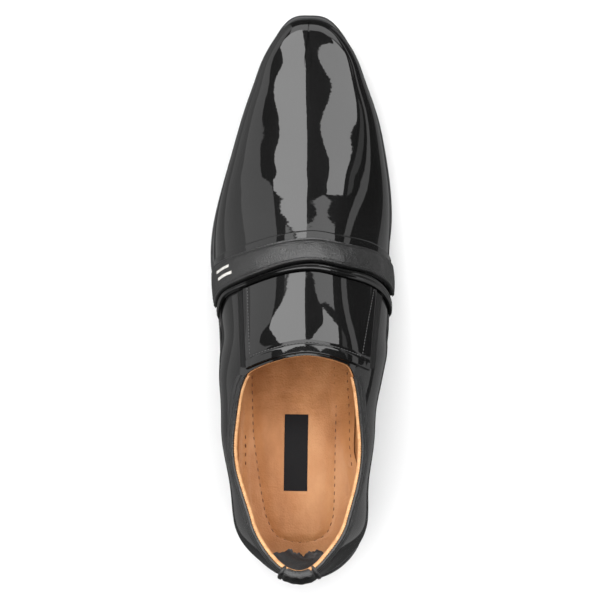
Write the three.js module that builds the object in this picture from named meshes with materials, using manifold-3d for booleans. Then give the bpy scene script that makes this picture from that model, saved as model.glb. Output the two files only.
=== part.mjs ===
import * as THREE from "three";
import { mergeVertices } from "three/addons/utils/BufferGeometryUtils.js";
import Module from "manifold-3d";

const wasm = await Module();
wasm.setup();

// A left patent slip-on dress shoe in millimetres. Y runs from the heel back to the toe, +X is the inner
// (big toe) side and Z is up. The line X = 0 joins the middle of the heel to the tip of the toe.

// Sizes of the sole.
const soleLength = 299;
const ballWidth = 97;
const heelWidth = 67;
const heelLength = 76;
const heelHeight = 22.7;
const toeSpring = 11;
const springPower = 1.8;
const flatRear = 0.562 * soleLength;
const flatFront = 0.696 * soleLength;
const seatFront = 0.194 * soleLength;
const outsoleThickness = 4.5;
const weltThickness = 2.5;
const weltEdge = 1.2;
const weltLedge = 4.2;
const clearance = 0.3;

// Sizes of the tread, the heel and the insole.
const treadRim = 3.5;
const treadDepth = 1.3;
const treadPitch = 16;
const treadRow = 15.2;
const heelTaper = 1;
const heelLift = 0.4;
const breastHollow = 4.7;
const breastLean = 7;
const grooveWidth = 1;
const grooveSpacing = 1.8;
const grooveDepth = 1.1;
const groovePitch = 5.2;
const grooveFirst = 0.664 * heelLength;
const insoleThickness = 5;
const insoleGap = 1.2;
const insoleRim = 2.4;
const insoleRimWidth = 7;

// Sizes of the upper, which is one hollow shell with its wall of leather and lining.
const instepHeight = 90;
const throatPlace = 0.4013 * soleLength;
const throatHalf = 0.32 * ballWidth;
const throatDepth = 9;
const ridgeShift = 3;
const toeSlope = 0.25;
const wall = 1.8;
const wingStep = 0.7;

// Sizes of the pieces laid on the upper.
const strapPlace = 0.597 * soleLength;
const strapSweep = 15;
const strapWidth = 12;
const strapEdge = 1.3;
const strapCrown = 1.9;
const underlayShow = 5;
const underlayThickness = 0.8;
const pipingWidth = 3;
const pipingHeight = 2.2;
const panelHalf = 0.35 * ballWidth;
const panelThickness = 1;
const goreWidth = 2.6;
const goreThickness = 0.6;
const bindingDrop = 5;
const bindingWall = 0.8;
const tabWidth = 25;
const tabDrop = 12;
const tabWall = 1;

const clamp01 = (t) => Math.min(1, Math.max(0, t));
const mix = (a, b, t) => a + (b - a) * t;
const ease = (t) => clamp01(t) ** 2 * (3 - 2 * clamp01(t));
const spaced = (from, to, steps) =>
  Array.from({ length: steps + 1 }, (_, i) => mix(from, to, i / steps));

// A walk goes once round half of the shoe in shares of the sole length: from the tip of the toe, round the
// toe pivot, straight back along the side, and round the heel pivot to the back of the heel.
const toePivot = 0.9;
const heelPivot = 0.11;
const toeArc = 0.15;
const heelArc = 0.173;
const straight = toePivot - heelPivot;
const wholeWalk = toeArc + straight + heelArc;
const toe = (degrees) => (toeArc * degrees) / 90;
const side = (along) => toeArc + toePivot - along;
const heel = (degrees) => toeArc + straight + (heelArc * degrees) / 90;
const walkAt = (y) => side(y / soleLength);

// The smooth curve through one column of a table. A slope of null leaves that end free.
const curve = (rows, column, key = "walk", startSlope = 0, endSlope = 0) => {
  const x = rows.map((row) => row[key]);
  const y = rows.map((row) => row[column]);
  const last = x.length - 1;
  const step = (i) => x[i + 1] - x[i];
  const rise = (i) => (y[i + 1] - y[i]) / step(i);
  const upper = new Array(last + 1).fill(0);
  const value = new Array(last + 1).fill(0);
  const equation = (i) => {
    if (i === 0) return startSlope === null ? [0, 2, 1, 3 * rise(0)] : [0, 1, 0, startSlope];
    if (i === last) return endSlope === null ? [1, 2, 0, 3 * rise(last - 1)] : [0, 1, 0, endSlope];
    const before = 1 / step(i - 1);
    const after = 1 / step(i);
    return [before, 2 * (before + after), after, 3 * (rise(i - 1) * before + rise(i) * after)];
  };
  for (let i = 0; i <= last; i += 1) {
    const [below, middle, above, right] = equation(i);
    const pivot = i === 0 ? middle : middle - below * upper[i - 1];
    upper[i] = above / pivot;
    value[i] = (i === 0 ? right : right - below * value[i - 1]) / pivot;
  }
  const slope = [...value];
  for (let i = last - 1; i >= 0; i -= 1) slope[i] = value[i] - upper[i] * slope[i + 1];
  return (at) => {
    let i = 0;
    while (i < last - 1 && at > x[i + 1]) i += 1;
    const h = step(i);
    const t = (at - x[i]) / h;
    const near = (1 + 2 * t) * (1 - t) ** 2 * y[i] + t * (1 - t) ** 2 * h * slope[i];
    const far = t * t * (3 - 2 * t) * y[i + 1] + t * t * (t - 1) * h * slope[i + 1];
    return near + far;
  };
};

// Plan of the sole and of the upper's widest line, each as a reach from the pivot in shares of the local
// width: the ball's width ahead of the waist and the heel's behind it. The ledge is a share of the welt's.
const planRows = [
  { walk: toe(0), soleOuter: 0.312, soleInner: 0.312, upperOuter: 0.274, upperInner: 0.274, ledge: 1 },
  { walk: toe(15), soleOuter: 0.315, soleInner: 0.313, upperOuter: 0.276, upperInner: 0.275, ledge: 1 },
  { walk: toe(32), soleOuter: 0.29, soleInner: 0.291, upperOuter: 0.264, upperInner: 0.267, ledge: 0.86 },
  { walk: toe(55), soleOuter: 0.259, soleInner: 0.268, upperOuter: 0.247, upperInner: 0.258, ledge: 0.62 },
  { walk: toe(90), soleOuter: 0.28, soleInner: 0.293, upperOuter: 0.271, upperInner: 0.285, ledge: 0.62 },
  { walk: side(0.84), soleOuter: 0.344, soleInner: 0.362, upperOuter: 0.334, upperInner: 0.353, ledge: 0.62 },
  { walk: side(0.76), soleOuter: 0.423, soleInner: 0.423, upperOuter: 0.406, upperInner: 0.41, ledge: 0.65 },
  { walk: side(0.68), soleOuter: 0.49, soleInner: 0.458, upperOuter: 0.468, upperInner: 0.443, ledge: 0.7 },
  { walk: side(0.61), soleOuter: 0.532, soleInner: 0.457, upperOuter: 0.497, upperInner: 0.446, ledge: 0.75 },
  { walk: side(0.56), soleOuter: 0.536, soleInner: 0.427, upperOuter: 0.497, upperInner: 0.445, ledge: 0.75 },
  { walk: side(0.51), soleOuter: 0.523, soleInner: 0.371, upperOuter: 0.497, upperInner: 0.461, ledge: 0.6 },
  { walk: side(0.46), soleOuter: 0.52, soleInner: 0.298, upperOuter: 0.51, upperInner: 0.488, ledge: 0.4 },
  { walk: side(0.42), soleOuter: 0.516, soleInner: 0.26, upperOuter: 0.535, upperInner: 0.516, ledge: 0.3 },
  { walk: side(0.36), soleOuter: 0.512, soleInner: 0.278, upperOuter: 0.587, upperInner: 0.535, ledge: 0.3 },
  { walk: side(0.28), soleOuter: 0.531, soleInner: 0.361, upperOuter: 0.59, upperInner: 0.525, ledge: 0.3 },
  { walk: side(0.2), soleOuter: 0.546, soleInner: 0.451, upperOuter: 0.568, upperInner: 0.515, ledge: 0.3 },
  { walk: side(0.11), soleOuter: 0.512, soleInner: 0.487, upperOuter: 0.52, upperInner: 0.498, ledge: 0.3 },
  { walk: heel(45), soleOuter: 0.484, soleInner: 0.493, upperOuter: 0.432, upperInner: 0.412, ledge: 0.6 },
  { walk: heel(90), soleOuter: 0.496, soleInner: 0.496, upperOuter: 0.447, upperInner: 0.447, ledge: 0.6 },
];
const plan = {
  sole: { "-1": curve(planRows, "soleOuter"), 1: curve(planRows, "soleInner") },
  upper: { "-1": curve(planRows, "upperOuter"), 1: curve(planRows, "upperInner") },
  ledge: curve(planRows, "ledge"),
};
const waistRear = 0.28;
const waistFront = 0.56;
const alongOf = (walk) => Math.min(toePivot, Math.max(heelPivot, toeArc + toePivot - walk));
const widthAt = (walk) => {
  const throughWaist = (alongOf(walk) - waistRear) / (waistFront - waistRear);
  return mix(heelWidth, ballWidth, ease(throughWaist));
};
const soleReach = (walk, hand) => plan.sole[hand](walk) * widthAt(walk);
const upperReach = (walk, hand) => plan.upper[hand](walk) * widthAt(walk);
const featherReach = (walk, hand) => soleReach(walk, hand) - plan.ledge(walk) * weltLedge;

// How far a station has turned from the toe, and a point at a reach from its pivot.
const turnOf = (walk) => {
  const inToe = Math.min(walk, toeArc) / toeArc;
  const inHeel = Math.max(0, walk - toeArc - straight) / heelArc;
  return ((inToe + inHeel) * Math.PI) / 2;
};
const at = (walk, hand, reach, height) => {
  const x = hand * reach * Math.sin(turnOf(walk));
  const y = alongOf(walk) * soleLength + reach * Math.cos(turnOf(walk));
  return new THREE.Vector3(Math.abs(x) < 1e-9 ? 0 : x, y, height(y));
};

// Underside of the outsole: flat at the ball, up with the toe spring, and up the arch to the heel seat.
const underside = (y) => {
  if (y > flatFront) return toeSpring * ((y - flatFront) / (soleLength - flatFront)) ** springPower;
  return (heelHeight + clearance) * ease((flatRear - y) / (flatRear - seatFront));
};
const outsoleTop = (y) => underside(y) + outsoleThickness;
const weltTop = (y) => outsoleTop(y) + clearance + weltThickness;
const seat = (y) => weltTop(y) + clearance;

// Height of the ridge and of the topline as shares of the instep's height.
const ridgeRows = [
  { walk: side(0.9), height: 0.411 },
  { walk: side(0.84), height: 0.461 },
  { walk: side(0.76), height: 0.528 },
  { walk: side(0.68), height: 0.617 },
  { walk: side(0.61), height: 0.715 },
  { walk: side(0.56), height: 0.792 },
  { walk: side(0.51), height: 0.868 },
  { walk: side(0.46), height: 0.938 },
  { walk: side(0.4), height: 1 },
  { walk: side(0.28), height: 1.09 },
  { walk: side(0.11), height: 1.17 },
];
const toplineRows = [
  { walk: side(0.42), height: 0.93 },
  { walk: side(0.36), height: 0.872 },
  { walk: side(0.3), height: 0.825 },
  { walk: side(0.23), height: 0.796 },
  { walk: side(0.17), height: 0.808 },
  { walk: side(0.11), height: 0.85 },
  { walk: heel(45), height: 0.905 },
  { walk: heel(90), height: 0.94 },
];
const ridgeStart = (toeSlope * soleLength) / instepHeight;
const ridgeCurve = curve(ridgeRows, "height", "walk", ridgeStart, 0);
const toplineCurve = curve(toplineRows, "height", "walk", null, 0);
const ridgeHeight = (walk) => instepHeight * ridgeCurve(Math.min(Math.max(walk, toeArc), toeArc + straight));
const toplineHeight = (walk) => instepHeight * toplineCurve(walk);
const shiftFront = 0.3;
const shiftRear = 0.2;
const ridgeX = (walk) => {
  const fromToe = ease((toePivot - alongOf(walk)) / shiftFront);
  return ridgeShift * fromToe * ease((alongOf(walk) - heelPivot) / shiftRear);
};

// Shape of each girth: how high its widest point and shoulder lie between the feather line and the ridge, and
// how far out the shoulder is as a share of the widest reach.
const girthRows = [
  { walk: toe(0), widest: 0.3, shoulder: 0.76, shoulderOut: 0.77 },
  { walk: toe(90), widest: 0.3, shoulder: 0.77, shoulderOut: 0.75 },
  { walk: side(0.76), widest: 0.27, shoulder: 0.72, shoulderOut: 0.72 },
  { walk: side(0.66), widest: 0.25, shoulder: 0.7, shoulderOut: 0.68 },
  { walk: side(0.57), widest: 0.25, shoulder: 0.73, shoulderOut: 0.66 },
  { walk: side(0.5), widest: 0.27, shoulder: 0.76, shoulderOut: 0.67 },
  { walk: side(0.42), widest: 0.29, shoulder: 0.79, shoulderOut: 0.71 },
  { walk: side(0.36), widest: 0.29, shoulder: 0.74, shoulderOut: 0.8 },
  { walk: side(0.28), widest: 0.27, shoulder: 0.63, shoulderOut: 0.9 },
  { walk: side(0.2), widest: 0.25, shoulder: 0.61, shoulderOut: 0.85 },
  { walk: side(0.11), widest: 0.25, shoulder: 0.7, shoulderOut: 0.63 },
  { walk: heel(45), widest: 0.25, shoulder: 0.74, shoulderOut: 0.71 },
  { walk: heel(90), widest: 0.25, shoulder: 0.77, shoulderOut: 0.79 },
];
const girth = {
  widest: curve(girthRows, "widest"),
  shoulder: curve(girthRows, "shoulder"),
  shoulderOut: curve(girthRows, "shoulderOut"),
};
const widestShare = 0.3;
const shoulderShare = 0.7;

// One girth of the last on one side, from the feather line at share 0 to the ridge at share 1.
const girthCache = new Map();
const girthAt = (walk, hand) => {
  const key = `${hand}/${walk}`;
  if (girthCache.has(key)) return girthCache.get(key);
  const foot = at(walk, hand, featherReach(walk, hand), seat);
  const top = ridgeHeight(walk);
  const widest = upperReach(walk, hand);
  const shoulder = widest * girth.shoulderOut(walk);
  const heightOf = (share) => mix(foot.z, top, share);
  const rows = [
    { share: 0, reach: featherReach(walk, hand), height: foot.z },
    { share: widestShare, reach: widest, height: heightOf(girth.widest(walk)) },
    { share: shoulderShare, reach: shoulder, height: heightOf(girth.shoulder(walk)) },
    { share: 1, reach: hand * ridgeX(walk), height: top },
  ];
  const reach = curve(rows, "reach", "share", null, null);
  const nudge = 1e-4;
  const arrival = (reach(1) - reach(1 - nudge)) / nudge;
  const crownSlope = walk < toeArc ? -toeSlope * Math.cos(turnOf(walk)) * arrival : 0;
  const height = curve(rows, "height", "share", null, crownSlope);
  girthCache.set(key, { reach, height });
  return girthCache.get(key);
};
const lastPoint = (walk, hand, share) => {
  const section = girthAt(walk, hand);
  return at(walk, hand, section.reach(share), () => section.height(share));
};

// A point lifted off the last's surface along its outward normal.
const lifted = (walk, hand, share, lift) => {
  const place = share > 1 - 1e-9 ? Math.max(walk, toeArc) : walk;
  const nudge = 1e-4;
  const ahead = lastPoint(place - nudge, hand, share);
  const along = lastPoint(place + nudge, hand, share).sub(ahead);
  const below = lastPoint(place, hand, share - nudge);
  const up = lastPoint(place, hand, share + nudge).sub(below);
  const normal = along.cross(up).multiplyScalar(-hand).normalize();
  if (share > 1 - 1e-9) normal.setX(0).normalize();
  if (walk < nudge || walk > wholeWalk - nudge) normal.setX(0).normalize();
  return lastPoint(walk, hand, share).addScaledVector(normal, lift);
};

// Where the opening cuts each girth: along the topline at the sides, and in an arc across the throat.
const shareWhere = (test) => {
  let low = widestShare;
  let high = 1;
  for (let i = 0; i < 40; i += 1) {
    const middle = (low + high) / 2;
    if (test(middle)) low = middle;
    else high = middle;
  }
  return high;
};
const throatWalk = walkAt(throatPlace);
const cornerSoftness = 0.03;
const arcPower = 1 / 1.7;
const cutShare = (walk, hand) => {
  if (walk <= throatWalk + 1e-9) return 1;
  const section = girthAt(walk, hand);
  const behind = (walk - throatWalk) * soleLength;
  const arc = throatHalf * (behind / throatDepth) ** arcPower;
  const byHeight = shareWhere((share) => section.height(share) < toplineHeight(walk));
  const byArc = shareWhere((share) => section.reach(share) - hand * ridgeX(walk) > arc);
  const gap = byHeight - byArc;
  return Math.min(0.9999, (byHeight + byArc + Math.sqrt(gap * gap + cornerSoftness ** 2)) / 2);
};

const flip = (triangles) => triangles.map(([a, b, c]) => [a, c, b]);

// Triangles become one closed body with its faces pointing out. A triangle that closes to a line is dropped.
const meshOf = (triangles) => {
  const tiny = 1e-3;
  const shortest = ([a, b, c]) => Math.min(a.distanceTo(b), b.distanceTo(c), c.distanceTo(a));
  const open = triangles.filter((triangle) => shortest(triangle) > tiny);
  const volume = open.reduce((sum, [a, b, c]) => sum + a.dot(b.clone().cross(c)), 0);
  const facing = volume > 0 ? open : flip(open);
  const positions = facing.flatMap((triangle) => triangle.flatMap((point) => point.toArray()));
  const geometry = new THREE.BufferGeometry();
  geometry.setAttribute("position", new THREE.Float32BufferAttribute(positions, 3));
  return mergeVertices(geometry, tiny);
};
const quad = (a, b, c, d) => [[a, b, c], [a, c, d]];
const strip = (low, high) => low.slice(1).flatMap((_, i) => quad(low[i], low[i + 1], high[i + 1], high[i]));

// A slab laid on a surface, from a grid of points on its underside and one on its top.
const slab = (bottom, top) => {
  const border = (grid) => [
    ...grid[0],
    ...grid.slice(1, -1).map((row) => row.at(-1)),
    ...[...grid.at(-1)].reverse(),
    ...grid.slice(1, -1).reverse().map((row) => row[0]),
    grid[0][0],
  ];
  const skin = (grid) => grid.slice(1).flatMap((row, i) => strip(grid[i], row));
  return meshOf([...flip(skin(bottom)), ...skin(top), ...strip(border(bottom), border(top))]);
};

// A bar along a path, from closed sections of the same number of points, with flat ends.
const bar = (sections, outline) => {
  const ring = (section) => [...section, section[0]];
  const faces = THREE.ShapeUtils.triangulateShape(outline, []);
  const cap = (section) => faces.map((corners) => corners.map((i) => section[i]));
  const walls = sections.slice(1).flatMap((section, i) => strip(ring(sections[i]), ring(section)));
  return meshOf([...walls, ...flip(cap(sections[0])), ...cap(sections.at(-1))]);
};

// A plate from loops of points stacked from its underside up, closed by a ladder of quads below and above.
const loopOf = (walks, point) => {
  const inner = [...walks].reverse().map((walk) => point(walk, 1));
  return [...inner, ...walks.map((walk) => point(walk, -1)), inner[0]];
};
const ladder = (walks, point) => {
  const rung = (walk) => [point(walk, -1), point(walk, 1)];
  return walks.slice(1).flatMap((walk, i) => strip(rung(walks[i]), rung(walk)));
};
const plate = (walks, levels) => {
  const loops = levels.map((point) => loopOf(walks, point));
  const walls = loops.slice(1).flatMap((loop, i) => strip(loops[i], loop));
  return meshOf([...walls, ...ladder(walks, levels[0]), ...flip(ladder(walks, levels.at(-1)))]);
};

// A closed band round the whole shoe, from the corners of its section in turn.
const band = (walks, corners) => {
  const loops = [...corners, corners[0]].map((point) => loopOf(walks, point));
  return meshOf(loops.slice(1).flatMap((loop, i) => strip(loops[i], loop)));
};

// Solids for cutting and joining.
const solidOf = (geometry) => {
  const bare = geometry.index ? geometry.clone() : geometry;
  bare.deleteAttribute("normal");
  bare.deleteAttribute("uv");
  const merged = mergeVertices(bare, 1e-4);
  const triVerts = Uint32Array.from(merged.index.array);
  const vertProperties = Float32Array.from(merged.attributes.position.array);
  return new wasm.Manifold(new wasm.Mesh({ numProp: 3, vertProperties, triVerts }));
};
const geometryOf = (solid) => {
  const mesh = solid.getMesh();
  const geometry = new THREE.BufferGeometry();
  geometry.setAttribute("position", new THREE.BufferAttribute(mesh.vertProperties, 3));
  geometry.setIndex(new THREE.BufferAttribute(mesh.triVerts, 1));
  return geometry;
};

// The walks of the sole, and those of the upper, which are close together where the throat turns its corner.
const toeSteps = 9;
const heelSteps = 7;
const soleSteps = 22;
const vampSteps = 13;
const quarterSteps = 6;
const onward = (from, to, steps) => spaced(from, to, steps).slice(1);
const soleWalks = [
  ...spaced(toe(0), toe(90), toeSteps),
  ...onward(side(toePivot), side(heelPivot), soleSteps),
  ...onward(heel(0), heel(90), heelSteps),
];
const cornerShares = [0.028, 0.089, 0.2, 0.356, 0.556, 0.8, 1.11, 1.56, 2.11];
const cornerWalks = cornerShares.map((share) => walkAt(throatPlace - share * throatDepth));
const upperWalks = [
  ...spaced(toe(0), toe(90), toeSteps),
  ...onward(side(toePivot), throatWalk, vampSteps),
  ...cornerWalks,
  ...onward(cornerWalks.at(-1), side(heelPivot), quarterSteps),
  ...onward(heel(0), heel(90), heelSteps),
];

// Outsole: a plate with the true outline, bent by the toe spring and the arch, with a quilted field under the
// forefoot that is sunk inside a rim and ends in a chevron at the waist.
const chevron = {
  outer: [-0.397 * ballWidth, 0.4368 * soleLength],
  apex: [-0.033 * ballWidth, 0.5027 * soleLength],
  inner: [0.204 * ballWidth, 0.4622 * soleLength],
};
const sunk = (depth) => (y) => underside(y) + depth;
const soleEdge = (inset, height) => (walk, hand) => at(walk, hand, soleReach(walk, hand) - inset, height);
const edgeRound = 0.8;
const outsoleSlab = plate(soleWalks, [
  soleEdge(edgeRound, underside),
  soleEdge(0, sunk(edgeRound)),
  soleEdge(0, outsoleTop),
]);
const fieldWalks = soleWalks.filter((walk) => alongOf(walk) * soleLength > chevron.outer[1] - treadPitch);
const fieldPlate = (inset, low, high) => solidOf(plate(fieldWalks, [
  soleEdge(treadRim + inset, sunk(low)),
  soleEdge(treadRim + inset, sunk(high)),
]));
const aheadOfChevron = (inset) => {
  const far = soleLength;
  const corner = ([x, y]) => [x, y + inset];
  const [outer, apex, inner] = [chevron.outer, chevron.apex, chevron.inner].map(corner);
  const past = (from, to, x) => [x, to[1] + ((to[1] - from[1]) / (to[0] - from[0])) * (x - to[0])];
  const points = [past(apex, outer, -far), apex, past(apex, inner, far), [far, 2 * far], [-far, 2 * far]];
  const shape = new THREE.Shape(points.map(([x, y]) => new THREE.Vector2(x, y)));
  const block = new THREE.ExtrudeGeometry(shape, { depth: 2 * toeSpring + treadDepth, bevelEnabled: false });
  return solidOf(block.translate(0, 0, -toeSpring));
};

// The quilting's lattice leans and narrows towards the waist. A row is one pyramid long, and odd columns lie
// half a row back.
const latticeStart = 0.943 * soleLength;
const latticeGrow = 0.35;
const latticeNarrow = 0.042;
const latticeLean = 0.08;
const latticeNode = (column, row) => {
  const y = latticeStart - treadRow * row - latticeGrow * row * row;
  const back = latticeStart - y;
  return [ridgeShift - latticeLean * back + column * (treadPitch - latticeNarrow * back), y];
};
const latticeColumns = spaced(-5, 5, 10);
const latticeRows = spaced(-1, 9, 20);
const pyramidGap = 0.35;
const pyramidSink = 0.4;
const apexShare = 0.9;
const pyramid = (column, row) => {
  const places = [[column, row - 0.5], [column + 1, row], [column, row + 0.5], [column - 1, row]];
  const corners = places.map((place) => latticeNode(...place));
  const [x, y] = latticeNode(column, row);
  const inward = ([cx, cy]) => {
    const length = Math.hypot(cx - x, cy - y);
    return [mix(cx, x, pyramidGap / length), mix(cy, y, pyramidGap / length)];
  };
  const root = ([px, py]) => new THREE.Vector3(px, py, underside(py) + treadDepth + pyramidSink);
  const base = corners.map(inward).map(root);
  const apex = new THREE.Vector3(x, y, underside(y) + treadDepth * (1 - apexShare));
  const slopes = base.map((corner, i) => [corner, base[(i + 1) % 4], apex]);
  return solidOf(meshOf([...slopes, ...quad(base[3], base[2], base[1], base[0])]));
};
const makeOutsole = () => {
  const pocket = fieldPlate(0, -treadDepth, treadDepth).intersect(aheadOfChevron(0));
  const fieldTop = treadDepth + 2 * pyramidSink;
  const field = fieldPlate(clearance, -treadDepth, fieldTop).intersect(aheadOfChevron(clearance));
  const cells = latticeColumns.flatMap((column) => latticeRows.map((row) => [column, row]));
  const onField = cells.filter(([column, row]) =>
    (column + 2 * row) % 2 !== 0 && latticeNode(column, row)[1] > chevron.outer[1] - treadRow);
  const quilting = onField.map((cell) => pyramid(...cell).intersect(field));
  const sole = solidOf(outsoleSlab).subtract(pocket);
  return geometryOf(quilting.reduce((body, piece) => body.add(piece), sole));
};

// Heel: a block under the seat with a hollow, leaning breast and three pairs of grooves across its face.
const heelPast = 12;
const heelRows = 6;
const heelWalks = [
  ...spaced(walkAt(heelLength + heelPast), side(heelPivot), heelRows),
  ...onward(heel(0), heel(90), heelSteps),
];
const grooveTilt = 3;
const makeHeel = () => {
  const block = plate(heelWalks, [
    soleEdge(heelTaper + heelLift, () => 0),
    soleEdge(heelTaper, () => heelLift),
    soleEdge(0, (y) => underside(y) - clearance),
  ]);
  const breastHalf = heelWidth / 2;
  const radius = (breastHalf ** 2 + breastHollow ** 2) / (2 * breastHollow);
  const height = 2 * heelHeight;
  const cutter = new THREE.CylinderGeometry(radius - breastLean, radius, height, 160).rotateX(Math.PI / 2);
  cutter.translate(0, heelLength + radius, height / 2);
  const groove = (place) => {
    const box = new THREE.BoxGeometry(2 * heelWidth, grooveWidth, 2 * grooveDepth);
    return solidOf(box.rotateZ((grooveTilt * Math.PI) / 180).translate(0, place, 0));
  };
  const firsts = [0, 1, 2].map((pair) => grooveFirst - pair * groovePitch);
  const grooves = firsts.flatMap((place) => [groove(place), groove(place - grooveSpacing)]);
  const body = solidOf(block).subtract(solidOf(cutter));
  return geometryOf(grooves.reduce((rest, cut) => rest.subtract(cut), body));
};

// Welt: a thin band between the outsole and the upper, whose edge shows round the toe.
const makeWelt = () => {
  const low = (y) => outsoleTop(y) + clearance;
  const outer = (height) => soleEdge(weltEdge * 0.5, height);
  const inner = (height) => (walk, hand) => at(walk, hand, featherReach(walk, hand) - wall, height);
  return band(soleWalks, [outer(low), outer(weltTop), inner(weltTop), inner(low)]);
};

// Insole: a board inside the welt and the upper, with its sock turned up in a low rim.
const makeInsole = () => {
  const edge = (inset, rise) => (walk, hand) => {
    const reach = featherReach(walk, hand) - wall - insoleGap - inset;
    return at(walk, hand, reach, (y) => outsoleTop(y) + clearance + rise);
  };
  return plate(soleWalks, [
    edge(0, 0),
    edge(0, insoleThickness + insoleRim),
    edge(insoleRimWidth * 0.2, insoleThickness + insoleRim),
    edge(insoleRimWidth * 0.6, insoleThickness + insoleRim * 0.3),
    edge(insoleRimWidth, insoleThickness),
  ]);
};

// The vamp's wings lie over the quarters. Their edge runs back from the strap and down to the feather line.
const wingRows = [
  { walk: side(0.54), share: 0.34 },
  { walk: side(0.45), share: 0.33 },
  { walk: side(0.375), share: 0.3 },
  { walk: side(0.33), share: 0.26 },
  { walk: side(0.295), share: 0.19 },
  { walk: side(0.262), share: 0.1 },
  { walk: side(0.24), share: 0.02 },
];
const wingCurve = curve(wingRows, "share", "walk", 0, null);
const wingEdge = (walk) => wingCurve(Math.min(Math.max(walk, wingRows[0].walk), wingRows.at(-1).walk));
const wingEnd = 0.24;
const wingFade = 0.02;
const vampEnd = 0.53;
const vampFade = 0.045;
const wingBelow = (walk) => wingStep * ease((alongOf(walk) - wingEnd) / wingFade);
const wingAbove = (walk) => wingStep * ease((alongOf(walk) - vampEnd) / vampFade);

// Upper: one hollow shell, open underneath and at the collar, from belts of points down each half-plane.
const outerLow = [0, 0.36, 0.7, 1];
const outerHigh = [0, 0.1, 0.22, 0.36, 0.52, 0.68, 0.84, 1];
const innerShares = [1, 0.94, 0.86, 0.72, 0.56, 0.4, 0.26, 0.12, 0];
const seamGap = 0.006;
const onSeat = (point) => point.setZ(seat(point.y));
const skinPoint = (walk, hand, share, lift) => {
  const point = lifted(walk, hand, share, lift);
  return share < 1e-9 ? onSeat(point) : point;
};
const makeUpper = () => {
  const belt = (walk, hand) => {
    const cut = cutShare(walk, hand);
    const seam = wingEdge(walk);
    const low = outerLow.map((t) => skinPoint(walk, hand, seam * t, wingBelow(walk)));
    const high = outerHigh.map((t) => skinPoint(walk, hand, mix(seam + seamGap, cut, t), wingAbove(walk)));
    const inside = innerShares.map((t) => skinPoint(walk, hand, cut * t, -wall));
    return { outside: [...low, ...high], inside };
  };
  const half = (hand) => {
    const belts = upperWalks.map((walk) => belt(walk, hand));
    return belts.slice(1).flatMap((next, i) => {
      const previous = belts[i];
      const rim = ({ outside, inside }) => [outside.at(-1), inside[0]];
      const foot = ({ outside, inside }) => [inside.at(-1), outside[0]];
      return [
        ...strip(previous.outside, next.outside),
        ...(upperWalks[i + 1] > throatWalk + 1e-9 ? strip(rim(previous), rim(next)) : []),
        ...strip(previous.inside, next.inside),
        ...strip(foot(previous), foot(next)),
      ];
    });
  };
  return meshOf([...half(1), ...flip(half(-1))]);
};

// Places on the upper by their share of the girth: 0 on the ridge, -1 and 1 at the feather lines.
const onGirth = (y, around, lift) => {
  const hand = around < 0 ? -1 : 1;
  return lifted(walkAt(y), hand, 1 - Math.abs(around), lift);
};

// Places on the instep by their offset to the side of the ridge.
const aroundAt = (y, offset) => {
  const walk = walkAt(y);
  const hand = offset < 0 ? -1 : 1;
  const section = girthAt(walk, hand);
  const share = shareWhere((t) => section.reach(t) - hand * ridgeX(walk) > Math.abs(offset));
  return Math.abs(offset) < 1e-6 ? 0 : hand * (1 - share);
};
const onInstep = (y, offset, lift) => onGirth(y, aroundAt(y, offset), lift);

// The strap crosses the instep from wall to wall. Its front edge trails back by a share of the sweep, its
// width is a share of the strap's width, the piping follows it by a share of the piping's width, and both
// flatten towards their ends by a share of their full height.
const strapRows = [
  { around: -0.63, trail: 1, width: 1.7, follow: 1.9, full: 0.4 },
  { around: -0.45, trail: 0.75, width: 1.33, follow: 0.9, full: 0.75 },
  { around: -0.3, trail: 0.52, width: 1.24, follow: 0.9, full: 1 },
  { around: -0.17, trail: 0.25, width: 1.14, follow: 1, full: 1 },
  { around: 0, trail: 0, width: 1, follow: 1.35, full: 1 },
  { around: 0.17, trail: 0.13, width: 1.02, follow: 1.5, full: 1 },
  { around: 0.3, trail: 0.25, width: 1.04, follow: 1.7, full: 1 },
  { around: 0.45, trail: 0.44, width: 1.1, follow: 2.1, full: 0.75 },
  { around: 0.68, trail: 0.88, width: 1.26, follow: 3.5, full: 0.4 },
];
const strapCurve = (column) => curve(strapRows, column, "around", null, null);
const [trail, widen, follow, full] = ["trail", "width", "follow", "full"].map(strapCurve);
const strapFront = (around) => strapPlace - strapSweep * trail(around);
const strapRear = (around) => strapFront(around) - strapWidth * widen(around);
const pipingRear = (around) => strapRear(around) - pipingWidth * follow(around);
const strapSpan = spaced(strapRows[0].around, strapRows.at(-1).around, 24);
const overUpper = wingStep + clearance;
const overUnderlay = overUpper + underlayThickness + clearance;
const acrossGrid = (front, rear, across, lift) => strapSpan.map((around) =>
  across.map((t) => onGirth(mix(front(around), rear(around), t), around, lift(t, around))));
const crown = (edge, rise) => (t, around) => {
  const bulge = Math.sqrt(Math.max(0, 1 - (2 * t - 1) ** 2));
  return full(around) * (edge + rise * bulge);
};

const makeStrap = () => {
  const across = [0, 0.08, 0.25, 0.5, 0.75, 0.92, 1];
  const top = (t, around) => overUnderlay + crown(strapEdge, strapCrown)(t, around);
  const grid = (lift) => acrossGrid(strapFront, strapRear, across, lift);
  return slab(grid(() => overUnderlay), grid(top));
};
const makeUnderlay = () => {
  const front = (around) => strapFront(around) + underlayShow;
  const rear = (around) => strapRear(around) + underlayThickness;
  const grid = (lift) => acrossGrid(front, rear, [0, 0.33, 0.66, 1], () => lift);
  return slab(grid(overUpper), grid(overUpper + underlayThickness));
};
const makePiping = () => {
  const across = [0, 0.12, 0.5, 0.88, 1];
  const widest = 1.6 * pipingWidth;
  const start = (around) => Math.min(strapRear(around) - clearance, pipingRear(around) + widest);
  const grid = (lift) => acrossGrid(start, pipingRear, across, lift);
  const top = (t, around) => overUpper + crown(0.3 * pipingHeight, 0.7 * pipingHeight)(t, around);
  return slab(grid(() => overUpper), grid(top));
};

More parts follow.
